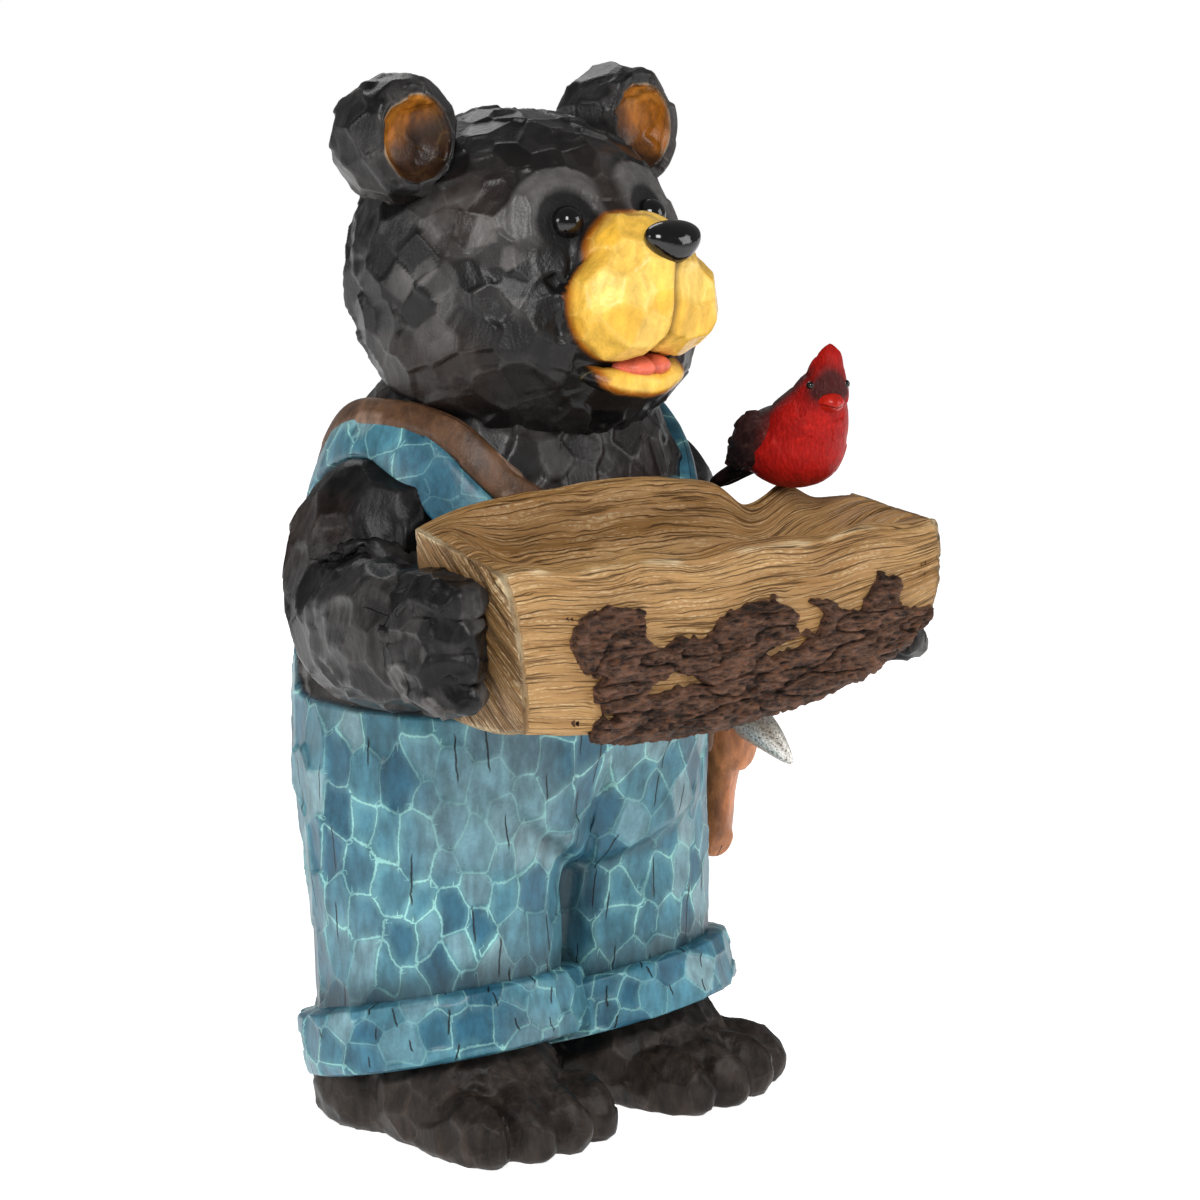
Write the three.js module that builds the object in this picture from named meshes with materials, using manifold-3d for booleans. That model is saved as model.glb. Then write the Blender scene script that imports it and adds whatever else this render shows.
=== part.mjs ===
// A garden statue of a standing black bear in dungarees, cast and painted to look carved.
// It holds a hollowed log as a bird bath, a red cardinal perches on the rim, and an axe hangs at its hip.
// Millimetres, +Z up. The bear faces -Y, and the origin is at the centre of the box round it, on the ground.
import * as THREE from "three";
import { mergeVertices } from "three/addons/utils/BufferGeometryUtils.js";
import Module from "manifold-3d";

const wasm = await Module();
wasm.setup();

// Driving dimensions
const EAR_SPREAD = 88; // from the middle of the head to an ear's centre
const HEAD_CENTRE_Z = 494;
const HEAD_RADIUS = 99;
const LEG_SPREAD = 58; // from the middle to a leg's axis
const CUFF_RADIUS = 84;
const CUFF_HEIGHT = 54;
const CUFF_CENTRE_Z = 66;
const CUFF_TILT = THREE.MathUtils.degToRad(13); // the turn-up stands higher at the front
const LOG_LENGTH = 334;
const LOG_FRONT_Y = -181;
const LOG_BACK_Y = -97;
const LOG_RIM_Z = 358; // front rim at the right-hand end
const LOG_BACK_RIM_Z = [370, 380, 386, 386, 381, 368, 361]; // at even steps from the right end to the left
const LOG_BOTTOM_Z = [271, 264, 259, 259, 264, 274, 296]; // at the same steps
const BASIN_FLOOR_Z = 326;
const WALL = 11; // the basin's front and back walls
const BIRD_PLACE = new THREE.Vector3(118, -114, 369); // where the cardinal sits on the rim
const AXE_PLACE = new THREE.Vector3(149, -18, 0); // the handle's axis
const BODY_AXIS_Y = 34.2; // how far the bear's own axis stands behind the box's centre
const GAP = 0.3; // clearance between pieces that touch

const vec = (x, y, z) => new THREE.Vector3(x, y, z);

// A smooth curve through rows of three numbers, read with a parameter from 0 to 1.
function smooth(rows) {
  return new THREE.CatmullRomCurve3(rows.map((row) => vec(...row)), false, "catmullrom", 0.5);
}

// Closes a list of rings, each with the same number of points, into one skin with a fan at either end.
function skin(rings) {
  const around = rings[0].length;
  const points = rings.flat();
  const middle = (ring) => ring.reduce((sum, p) => sum.add(p), vec(0, 0, 0)).divideScalar(around);
  points.push(middle(rings[0]), middle(rings.at(-1)));
  const first = points.length - 2;
  const last = points.length - 1;
  const end = (rings.length - 1) * around;
  const faces = [];
  for (let j = 0; j < around; j++) {
    const k = (j + 1) % around;
    for (let i = 0; i < end; i += around) {
      faces.push(i + j, i + k, i + around + k, i + j, i + around + k, i + around + j);
    }
    faces.push(first, k, j, last, end + j, end + k);
  }
  const geometry = new THREE.BufferGeometry().setFromPoints(points);
  geometry.setIndex(faces);
  return geometry;
}

// Superellipse rings carried along a path. Each row of sizes holds the ring's half width along the side
// direction, its half depth across it, and its squareness. The ends are domed: the larger the dome number,
// the shorter the dome.
function loft({ path, sizes, side = vec(1, 0, 0), dome = 2, rings = 12, around = 18 }) {
  const line = smooth(path);
  const size = smooth(sizes);
  const list = [];
  for (let i = 0; i <= rings; i++) {
    const share = (1 - Math.cos((Math.PI * (i + 0.35)) / (rings + 0.7))) / 2;
    const centre = line.getPoint(share);
    const along = line.getTangent(share);
    const wide = side.clone().addScaledVector(along, -side.dot(along)).normalize();
    const deep = along.clone().cross(wide);
    const { x: halfWide, y: halfDeep, z: power } = size.getPoint(share);
    const end = Math.sqrt(1 - Math.abs(2 * share - 1) ** dome);
    const ring = [];
    for (let j = 0; j < around; j++) {
      const turn = (2 * Math.PI * j) / around;
      const bulge = (value) => Math.sign(value) * Math.abs(value) ** (2 / power);
      const point = centre.clone();
      point.addScaledVector(wide, halfWide * end * bulge(Math.cos(turn)));
      point.addScaledVector(deep, halfDeep * end * bulge(Math.sin(turn)));
      ring.push(point);
    }
    list.push(ring);
  }
  return skin(list);
}

// An ellipsoid given by its centre and its three half sizes.
function egg(centre, half, around = 16) {
  const geometry = new THREE.SphereGeometry(1, around, Math.round(around * 0.6));
  return geometry.scale(half.x, half.y, half.z).translate(centre.x, centre.y, centre.z);
}

// Booleans: a closed geometry becomes a solid, and a solid a geometry again.
function solid(geometry) {
  const bare = geometry.clone();
  bare.deleteAttribute("normal");
  bare.deleteAttribute("uv");
  const merged = mergeVertices(bare, 1e-4);
  const mesh = new wasm.Mesh({
    numProp: 3,
    vertProperties: merged.attributes.position.array,
    triVerts: new Uint32Array(merged.index.array),
  });
  return new wasm.Manifold(mesh);
}

function join(geometries) {
  return geometries.map(solid).reduce((whole, piece) => whole.add(piece));
}

// The outer body alone, without the small pockets that pieces enclose between them.
function largest(made) {
  return made.decompose().reduce((big, one) => (one.volume() > big.volume() ? one : big));
}

function geometryOf(made) {
  const mesh = made.getMesh();
  const geometry = new THREE.BufferGeometry();
  geometry.setAttribute("position", new THREE.BufferAttribute(mesh.vertProperties, 3));
  geometry.setIndex(new THREE.BufferAttribute(mesh.triVerts, 1));
  return geometry;
}

// The bear's trunk and trousers in one. Each ring is the outline of two equal circles side by side, so low
// down it parts into two legs with a cleft before and behind, and higher up it closes into one round body.
// Each row gives the ring's height, how far it leans back, the circles' spread and their radius.
function trunk() {
  const rows = [
    [30, 2, 58, 72],
    [90, 2, 58, 74],
    [150, 2, 54, 80],
    [200, 2, 37, 97],
    [250, 2, 20, 115],
    [310, 0, 14, 116],
    [375, 2, 16, 99],
    [420, 4, 14, 86],
    [448, 4, 6, 64],
  ];
  const place = smooth(rows.map(([z, y]) => [0, y, z]));
  const size = smooth(rows.map(([, , spread, radius]) => [spread, radius, 0]));
  const rings = 15;
  const around = 24;
  const list = [];
  for (let i = 0; i <= rings; i++) {
    const centre = place.getPoint(i / rings);
    const { x: spread, y: radius } = size.getPoint(i / rings);
    const ring = [];
    for (let j = 0; j < around; j++) {
      const turn = (2 * Math.PI * j) / around;
      const across = spread * Math.sin(turn);
      const reach = spread * Math.abs(Math.cos(turn)) + Math.sqrt(radius ** 2 - across ** 2);
      ring.push(vec(reach * Math.cos(turn), reach * Math.sin(turn), 0).add(centre));
    }
    list.push(ring);
  }
  return skin(list);
}

// The head is a ball whose lower half leans forward into the jowls.
function head() {
  const low = HEAD_CENTRE_Z - HEAD_RADIUS;
  const high = HEAD_CENTRE_Z + HEAD_RADIUS;
  return loft({
    path: [[0, -22, low], [0, -2, HEAD_CENTRE_Z], [0, 2, high]],
    sizes: [[98, 96, 2], [HEAD_RADIUS + 3, HEAD_RADIUS, 2], [97, 96, 2]],
    rings: 10,
    around: 20,
  });
}

// Two cheeks with a cleft between them, the bridge above, the nose, and the lower lip.
function muzzle() {
  const cheeks = [-1, 1].map((hand) => egg(vec(hand * 27, -105, 494), vec(29, 32, 35), 12));
  const bridge = loft({
    path: [[0, -66, 522], [0, -100, 519], [0, -132, 512]],
    sizes: [[38, 20, 2.3], [34, 20, 2.3], [26, 20, 2.3]],
    rings: 6,
    around: 12,
  });
  const nose = egg(vec(0, -131, 526), vec(22, 13, 14), 10);
  const lip = egg(vec(0, -92, 441), vec(40, 34, 16), 12);
  return [...cheeks, bridge, nose, lip];
}

function ear(hand) {
  const disc = loft({
    path: [[hand * 86, 30, 570], [hand * EAR_SPREAD, 4, 574], [hand * 90, -22, 576]],
    sizes: [[31, 33, 2], [35, 37, 2], [34, 36, 2]],
    dome: 4,
    rings: 6,
    around: 16,
  });
  const dish = egg(vec(hand * 90, -26, 576), vec(23, 16, 26), 12);
  return geometryOf(solid(disc).subtract(solid(dish)));
}

// The turned-up end of a trouser leg, a thick ring round the ankle.
function cuff(hand) {
  const rise = vec(0, Math.sin(CUFF_TILT), Math.cos(CUFF_TILT)).multiplyScalar(CUFF_HEIGHT / 2);
  const centre = vec(hand * LEG_SPREAD, 0, CUFF_CENTRE_Z);
  const low = centre.clone().sub(rise);
  const high = centre.clone().add(rise);
  return loft({
    path: [low.toArray(), centre.toArray(), high.toArray()],
    sizes: [0, 2, 0].map((swell) => [CUFF_RADIUS + swell, CUFF_RADIUS + swell / 2, 2.2]),
    dome: 10,
    rings: 5,
    around: 20,
  });
}

// A foot with four toes, modelled pointing straight forward from its ankle and then turned outward.
function foot(hand, turn, ankle) {
  const sole = loft({
    path: [[0, 58, 18], [0, 8, 30], [0, -45, 32], [0, -100, 18]],
    sizes: [[46, 24, 2.2], [56, 42, 2.3], [58, 40, 2.4], [53, 24, 2.4]],
    dome: 4,
    rings: 7,
    around: 14,
  });
  const toes = [-1.5, -0.5, 0.5, 1.5].map((place) => {
    const reach = 94 - 3.5 * place ** 2;
    return egg(vec(place * 26, -reach, 17), vec(15, 25, 24), 8);
  });
  const angle = THREE.MathUtils.degToRad(hand * turn);
  return [sole, ...toes].map((piece) => piece.rotateZ(angle).translate(ankle.x, ankle.y, 0));
}

// An arm from the shoulder round the elbow to the paw that grips the log's end.
function arm(hand, back) {
  const limb = loft({
    path: [
      [hand * 76, 8, 408],
      [hand * 104, 12, 364],
      [hand * 116, 8, 316],
      [hand * 132, -26, 298],
      [hand * 162, -86 + back, 310],
      [hand * 182, -140 + back, 322],
    ],
    sizes: [[35, 40, 2], [36, 41, 2], [38, 43, 2], [38, 43, 2], [34, 42, 2], [20, 40, 2.2]],
    side: vec(1, 0, 0.2),
    dome: 7,
    rings: 11,
    around: 13,
  });
  const fingers = [0, 1, 2, 3].map((row) => {
    const place = vec(hand * 179, -150 + back + 3 * Math.abs(row - 1.5), 351 - row * 20);
    return egg(place, vec(14, 27, 12), 8);
  });
  return [limb, ...fingers];
}

// A flat band that lies on the trunk, such as a shoulder strap.
function band(path, halfWidth, side) {
  const size = [halfWidth, 6, 4];
  return loft({ path, sizes: [size, size, size], side, dome: 24, rings: path.length + 2, around: 8 });
}

// Two shoulder straps, and the belt over the right shoulder that carries the axe at the left hip.
function straps() {
  const shoulder = (hand) =>
    band(
      [
        [hand * 66, -92, 330],
        [hand * 93, -60, 376],
        [hand * 102, -14, 406],
        [hand * 98, 28, 411],
        [hand * 81, 69, 386],
        [hand * 56, 103, 320],
      ],
      13,
      vec(-0.75 * hand, -0.3, 0.55),
    );
  const belt = band(
    [
      [128, -34, 236],
      [104, -80, 268],
      [48, -110, 316],
      [-24, -105, 356],
      [-72, -76, 390],
      [-92, -39, 417],
      [-95, 6, 425],
      [-81, 52, 413],
      [-44, 97, 366],
      [30, 113, 306],
      [106, 64, 256],
    ],
    11,
    vec(0.65, 0, 0.75),
  );
  return [...[-1, 1].map(shoulder), belt];
}

// The log's outline across its length at one place, from the front rim round the underside to the back rim.
function logSection(share, extra) {
  const end = (2 * share - 1) ** 4;
  const halfLength = LOG_LENGTH / 2 + extra;
  const height = (list) => smooth(list.map((z) => [0, 0, z])).getPoint(share).z;
  const frontRim = LOG_RIM_Z + 2 * Math.cos(7 * share) - 6 * share + extra;
  const backRim = height(LOG_BACK_RIM_Z) + extra;
  const bottom = height(LOG_BOTTOM_Z) - extra;
  const front = LOG_FRONT_Y - extra;
  const back = LOG_BACK_Y - 15 * end + extra;
  return [
    [front + 3, frontRim],
    [front, frontRim - 6],
    [front - 5, 320],
    [front - 6, bottom + 16],
    [front, bottom + 3],
    [front + 20, bottom],
    [back - 30, bottom + 2],
    [back - 8, bottom + 14],
    [back, bottom + 36],
    [back, backRim - 6],
    [back - 3, backRim],
    [(front + back) / 2, (frontRim + backRim) / 2],
  ].map(([y, z]) => {
    const lean = 1 - 0.0004 * (LOG_RIM_Z - z);
    return vec((2 * share - 1) * halfLength * lean, y, z);
  });
}

function logBlock(extra) {
  const steps = 14;
  const rings = Array.from({ length: steps + 1 }, (_, i) => logSection(i / steps, extra));
  return skin(rings);
}

// The knob on the log's back rim that the bird stands on.
function nub(extra) {
  const centre = BIRD_PLACE.clone().add(vec(0, 4, -12));
  return egg(centre, vec(20 + extra, 13 + extra, 14 + extra), 12);
}

// The log, hollowed from above.
function logBasin() {
  const half = LOG_LENGTH / 2 - 30;
  const middleY = (LOG_FRONT_Y + LOG_BACK_Y) / 2;
  const halfDeep = (LOG_BACK_Y - LOG_FRONT_Y) / 2 - WALL;
  const hollow = loft({
    path: [[-half, middleY, LOG_RIM_Z + 30], [0, middleY, LOG_RIM_Z + 30], [half, middleY, LOG_RIM_Z + 30]],
    sizes: Array(3).fill([halfDeep, LOG_RIM_Z + 30 - BASIN_FLOOR_Z, 3]),
    side: vec(0, 1, 0),
    dome: 5,
    rings: 12,
    around: 20,
  });
  return solid(logBlock(0)).subtract(solid(hollow)).add(solid(nub(0)));
}

// The cardinal: body, head with its crest and beak, folded wings and tail.
function cardinal() {
  const at = (rows) => rows.map(([x, y, z]) => vec(x, y, z).add(BIRD_PLACE).toArray());
  const body = loft({
    path: at([[0, 34, 14], [0, 6, 30], [0, -14, 48], [0, -25, 68]]),
    sizes: [[16, 15, 2], [27, 26, 2], [24, 24, 2], [19, 19, 2]],
    dome: 2.6,
    rings: 8,
    around: 12,
  });
  const crest = loft({
    path: at([[0, -27, 60], [0, -28, 76], [0, -29, 92]]),
    sizes: [[16, 16, 2], [11, 12, 2], [4, 4, 2]],
    dome: 4,
    rings: 5,
    around: 9,
  });
  const beak = loft({
    path: at([[0, -36, 60], [0, -45, 58], [0, -53, 55]]),
    sizes: [[8, 8, 2], [6, 6, 2], [2, 2, 2]],
    dome: 3,
    rings: 5,
    around: 8,
  });
  const tail = loft({
    path: at([[0, 20, 20], [0, 42, 12], [0, 66, 2]]),
    sizes: [[13, 8, 2.5], [10, 5, 3], [8, 4, 3]],
    dome: 6,
    rings: 5,
    around: 10,
  });
  const wings = [-1, 1].map((hand) =>
    loft({
      path: at([[hand * 19, -12, 48], [hand * 23, 10, 34], [hand * 12, 42, 15]]),
      sizes: [[6, 16, 2], [6, 17, 2], [4, 5, 2]],
      dome: 3,
      rings: 5,
      around: 8,
    }),
  );
  const feet = loft({
    path: at([[0, 2, -4], [0, 2, 4], [0, 2, 14]]),
    sizes: Array(3).fill([15, 11, 2]),
    dome: 8,
    rings: 3,
    around: 10,
  });
  return join([body, crest, beak, tail, ...wings, feet]);
}

// The axe: a swelling handle, and a head whose blade points forward and droops to its edge.
function axe() {
  const { x, y } = AXE_PLACE;
  const handle = loft({
    path: [[x, y + 8, 126], [x, y + 4, 146], [x, y, 170], [x, y - 6, 205], [x, y - 4, 236]],
    sizes: [[12, 13, 2], [12, 15, 2], [10, 10, 2], [13, 17, 2], [11, 13, 2]],
    dome: 10,
    rings: 9,
    around: 12,
  });
  const blade = loft({
    path: [[x, y + 18, 232], [x, y - 4, 230], [x, y - 34, 222], [x, y - 66, 206]],
    sizes: [[14, 16, 3], [16, 16, 3], [9, 18, 2.6], [2, 25, 2.4]],
    dome: 14,
    rings: 7,
    around: 14,
  });
  return join([handle, blade]);
}

function bear() {
  const pieces = [trunk(), head(), ...muzzle(), ...straps()];
  for (const hand of [-1, 1]) {
    pieces.push(ear(hand), cuff(hand));
  }
  pieces.push(...foot(-1, 0, vec(-66, 0, 0)), ...foot(1, 15, vec(64, 6, 0)));
  pieces.push(...arm(-1, 0), ...arm(1, 14));
  const ground = new THREE.BoxGeometry(900, 900, 100).translate(0, 0, -50);
  return largest(join(pieces).subtract(solid(logBlock(GAP))).subtract(solid(ground)));
}

const paint = {
  bear: { color: 0x2b292a, roughness: 0.45 },
  log_basin: { color: 0xa07a3c, roughness: 0.6 },
  cardinal: { color: 0xa81418, roughness: 0.45 },
  axe: { color: 0x9a6033, roughness: 0.5 },
};

function mesh(name, made) {
  const material = new THREE.MeshStandardMaterial({ ...paint[name], metalness: 0 });
  const piece = new THREE.Mesh(geometryOf(made), material);
  piece.name = name;
  return piece;
}

const log = logBasin();
const bird = largest(cardinal().subtract(solid(nub(GAP))).subtract(solid(logBlock(GAP))));
const hatchet = axe();
const statue = new THREE.Group();
statue.add(mesh("bear", bear()), mesh("log_basin", log), mesh("cardinal", bird), mesh("axe", hatchet));
statue.position.y = BODY_AXIS_Y;

export default statue;
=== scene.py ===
"""The looks of a carved bear statue that holds a log as a bird bath.

Each piece is a grid of points worked out as whole arrays: rings carried along a path, a profile turned
round an axis, or a soft union of ellipsoids seen from a point inside. Gouge cuts are laid over the grid as
flat facets, and the paint follows the facets, their ridges and the shapes below them.
"""

import bpy
import numpy as np
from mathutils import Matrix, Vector


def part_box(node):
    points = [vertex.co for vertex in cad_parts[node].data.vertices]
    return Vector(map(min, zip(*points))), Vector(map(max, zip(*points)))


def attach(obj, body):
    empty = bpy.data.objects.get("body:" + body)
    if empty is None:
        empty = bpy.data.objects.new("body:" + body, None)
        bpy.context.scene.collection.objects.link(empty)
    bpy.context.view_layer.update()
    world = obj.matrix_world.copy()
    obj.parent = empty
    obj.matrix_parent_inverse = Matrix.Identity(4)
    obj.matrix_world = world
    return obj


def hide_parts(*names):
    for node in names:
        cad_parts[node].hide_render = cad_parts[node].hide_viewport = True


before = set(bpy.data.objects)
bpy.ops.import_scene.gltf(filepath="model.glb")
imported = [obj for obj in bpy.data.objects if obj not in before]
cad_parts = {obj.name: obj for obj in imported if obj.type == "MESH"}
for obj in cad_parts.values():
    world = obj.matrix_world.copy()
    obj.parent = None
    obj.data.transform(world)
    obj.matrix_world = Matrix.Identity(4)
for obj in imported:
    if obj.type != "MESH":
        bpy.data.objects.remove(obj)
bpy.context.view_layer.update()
bear_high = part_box("bear")[1]
log_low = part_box("log_basin")[0]

# Lengths below are millimetres on a bear of the design height that faces -Y, measured from its upright axis.
DESIGN_HEIGHT = 611.06
LOG_FRONT = 187
MM = bear_high.z / DESIGN_HEIGHT
AXIS_Y = log_low.y + LOG_FRONT * MM
HANDS = {-1: "right", 1: "left"}
# Cells along each side of the block of random values that the noise repeats
LATTICE = 24
# The distance that stands for an ellipsoid which a direction misses, and how fast a share falls with distance
MISSED = -60.0
SHARE_FALL = 0.13
# How many points the gouge cuts measure at a time, and the most that a cut moves a point
BATCH = 6000
DEEPEST_CUT = 3


def ease(low, high, value):
    """Smooth step from 0 at low to 1 at high; low may be the larger."""
    share = np.clip((value - low) / (high - low), 0, 1)
    return share * share * (3 - 2 * share)


def bump(distance, width):
    """Bell curve of a distance: 1 at zero, falling off over the width."""
    return np.exp(-((distance / width) ** 2))


def blend(amount, first, second):
    """Colour between two colours, one amount for each point."""
    amount = np.asarray(amount)[:, None]
    return (1 - amount) * np.asarray(first) + amount * np.asarray(second)


def noise(points, size, seed):
    """Smooth random field from -1 to 1: values on a lattice of that size, eased between neighbours."""
    table = np.random.default_rng(seed).uniform(-1, 1, (LATTICE, LATTICE, LATTICE))
    place = np.asarray(points) / size
    cell = np.floor(place).astype(int)
    share = ease(0, 1, place - cell)
    total = 0
    for corner in np.ndindex(2, 2, 2):
        i, j, k = ((cell + corner) % LATTICE).T
        total = total + np.where(corner, share, 1 - share).prod(1) * table[i, j, k]
    return total


def curve(rows, share):
    """Uniform Catmull-Rom curve through rows, its ends reflected, read at shares from 0 to 1."""
    rows = np.asarray(rows, float)
    rows = np.vstack([2 * rows[0] - rows[1], rows, 2 * rows[-1] - rows[-2]])
    spans = len(rows) - 3
    place = np.clip(share, 0, 1) * spans
    i = np.minimum(place.astype(int), spans - 1)
    f = (place - i)[:, None]
    a, b, c, d = (rows[i + k] for k in range(4))
    return 0.5 * (2 * b + (c - a) * f + (2 * a - 5 * b + 4 * c - d) * f**2 + (3 * b - a - 3 * c + d) * f**3)


def unit(vectors):
    """The vectors at length 1."""
    return vectors / np.linalg.norm(vectors, axis=-1, keepdims=True)


class Skin:
    """A closed surface made from a grid of rings, with a fan to a pole at either end.

    Its surface map runs round the rings and along them in millimetres, for patterns that follow the surface.
    """

    def __init__(self, grid):
        rings, around = grid.shape[:2]
        self.shape = rings, around
        self.points = np.vstack([grid.reshape(-1, 3), grid[0].mean(0), grid[-1].mean(0)])
        index = np.arange(rings * around).reshape(rings, around)
        after = np.roll(index, -1, 1)
        self.quads = np.stack([index[:-1], after[:-1], after[1:], index[1:]], -1).reshape(-1, 4)
        first = np.full(around, rings * around)
        self.fans = np.vstack([
            np.stack([first, after[0], index[0]], -1),
            np.stack([first + 1, index[-1], after[-1]], -1),
        ])
        girth = np.linalg.norm(grid - np.roll(grid, -1, 1), axis=2).sum(1).mean()
        length = np.linalg.norm(np.diff(grid, axis=0), axis=2).sum(0).mean()
        u = np.arange(around + 1) * girth / around
        v = np.arange(rings) * length / (rings - 1)
        left, right = np.broadcast_arrays(u[:-1], u[1:])
        square = [(left, v[:-1]), (right, v[:-1]), (right, v[1:]), (left, v[1:])]
        corners = [np.stack(np.broadcast_arrays(a[None, :], b[:, None]), -1) for a, b in square]
        low = np.stack([np.stack([a, 0 * a + v[0]], -1) for a in (left, right, left)], 1)
        high = np.stack([np.stack([a, 0 * a + v[-1]], -1) for a in (left, left, right)], 1)
        self.map = np.vstack([np.stack(corners, 2).reshape(-1, 2), low.reshape(-1, 2), high.reshape(-1, 2)])

    def normals(self):
        """Outward directions at the points: the sum of the cross products of the faces round each."""
        p, q, t = self.points, self.quads, self.fans
        square = np.cross(p[q[:, 2]] - p[q[:, 0]], p[q[:, 3]] - p[q[:, 1]])
        fan = np.cross(p[t[:, 1]] - p[t[:, 0]], p[t[:, 2]] - p[t[:, 0]])
        where = np.concatenate([q.T.ravel(), t.T.ravel()])
        total = np.vstack([np.tile(square, (4, 1)), np.tile(fan, (3, 1))])
        return unit(np.stack([np.bincount(where, total[:, k], len(p)) for k in range(3)], -1) + 1e-12)

    def swell(self, amount):
        """Moves each point along its normal."""
        self.points = self.points + np.asarray(amount)[:, None] * self.normals()


def loft(path, sizes, dome, rings, around, side=(1, 0, 0)):
    """Superellipse rings carried along a smooth path: each row of sizes gives the half width along the side
    direction, the half depth across it and the squareness. The larger dome is, the blunter the ends are."""
    share = (1 - np.cos(np.pi * (np.arange(rings + 1) + 0.35) / (rings + 0.7))) / 2
    centre = curve(path, share)
    along = unit(curve(path, share + 1e-4) - curve(path, share - 1e-4))
    side = np.asarray(side, float)
    wide = unit(side - (along @ side)[:, None] * along)
    deep = np.cross(along, wide)
    size = curve(sizes, share)
    end = np.sqrt(1 - np.abs(2 * share - 1) ** dome)[:, None]
    turn = 2 * np.pi * np.arange(around) / around
    power = 2 / size[:, 2:]
    across = size[:, :1] * end * np.sign(np.cos(turn)) * np.abs(np.cos(turn)) ** power
    through = size[:, 1:2] * end * np.sign(np.sin(turn)) * np.abs(np.sin(turn)) ** power
    return Skin(centre[:, None] + across[..., None] * wide[:, None] + through[..., None] * deep[:, None])


def turned(profile, centre, axis, rings, around, wide, tall):
    """A profile of rows (radius, distance along the axis) turned round an axis through the centre, its
    circles stretched by the factors wide and tall."""
    axis = unit(np.asarray(axis, float))
    wide_way = unit(np.cross((0, 0, 1), axis)) * wide
    tall_way = np.cross(axis, unit(wide_way)) * tall
    line = curve(profile, np.linspace(0.012, 0.988, rings))
    turn = 2 * np.pi * np.arange(around) / around
    spoke = np.cos(turn)[:, None] * wide_way + np.sin(turn)[:, None] * tall_way
    grid = np.asarray(centre, float) + line[:, None, :1] * spoke + line[:, None, 1:2] * axis
    return Skin(grid)


def union(eye, rows, tight, rings, around, floor=None):
    """A soft union of ellipsoids, rows of (centre, half sizes), seen from a point inside: along each
    direction the distance is the log-sum-exp of the ellipsoids' far crossings, its joins the sharper the
    larger tight is, and ends at the floor if there is one. Also gives each ellipsoid's share there."""
    tilt = np.linspace(-np.pi / 2, np.pi / 2, rings + 2)[1:-1, None]
    turn = 2 * np.pi * np.arange(around)[None] / around
    level = np.cos(tilt)
    way = np.stack(np.broadcast_arrays(level * np.cos(turn), level * np.sin(turn), np.sin(tilt)), -1)
    eye = np.asarray(eye, float)
    reach = []
    for centre, half in rows:
        half = np.asarray(half, float)
        gap = (eye - centre) / half
        step = way / half
        a, b, c = (step**2).sum(-1), step @ gap, gap @ gap - 1
        root = b * b - a * c
        reach.append(np.where(root > 0, (np.sqrt(np.maximum(root, 0)) - b) / a, MISSED))
    reach = np.stack(reach)
    top = reach.max(0)
    far = top + np.log(np.exp(tight * (reach - top)).sum(0)) / tight
    if floor is not None:
        drop = (eye[2] - floor) / np.maximum(-way[..., 2], 1e-6)
        far = np.where(way[..., 2] < 0, np.minimum(far, drop), far)
    skin = Skin(eye + far[..., None] * way)
    weight = np.exp(SHARE_FALL * (reach - top)).reshape(len(rows), -1)
    weight = np.hstack([weight, weight[:, :1], weight[:, -1:]])
    return skin, weight / weight.sum(0)


def ball(place, radius):
    """A round bead."""
    return union(place, [(place, (radius, radius, radius))], 1.0, 36, 56)[0]


def spots(points, spacing, seed):
    """Seeded places spread over a surface: each next one is the point furthest from those chosen, measured
    shorter in some patches than in others, until none is further than the spacing."""
    rng = np.random.default_rng(seed)
    patch = 0.7 + 0.3 * noise(points, 2.3 * spacing, seed)
    chosen = [int(rng.integers(len(points)))]
    gap = np.full(len(points), np.inf)
    while True:
        gap = np.minimum(gap, ((points - points[chosen[-1]]) ** 2).sum(1) * patch)
        furthest = int(np.argmax(gap))
        if gap[furthest] < spacing**2:
            return np.array(chosen)
        chosen.append(furthest)


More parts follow.
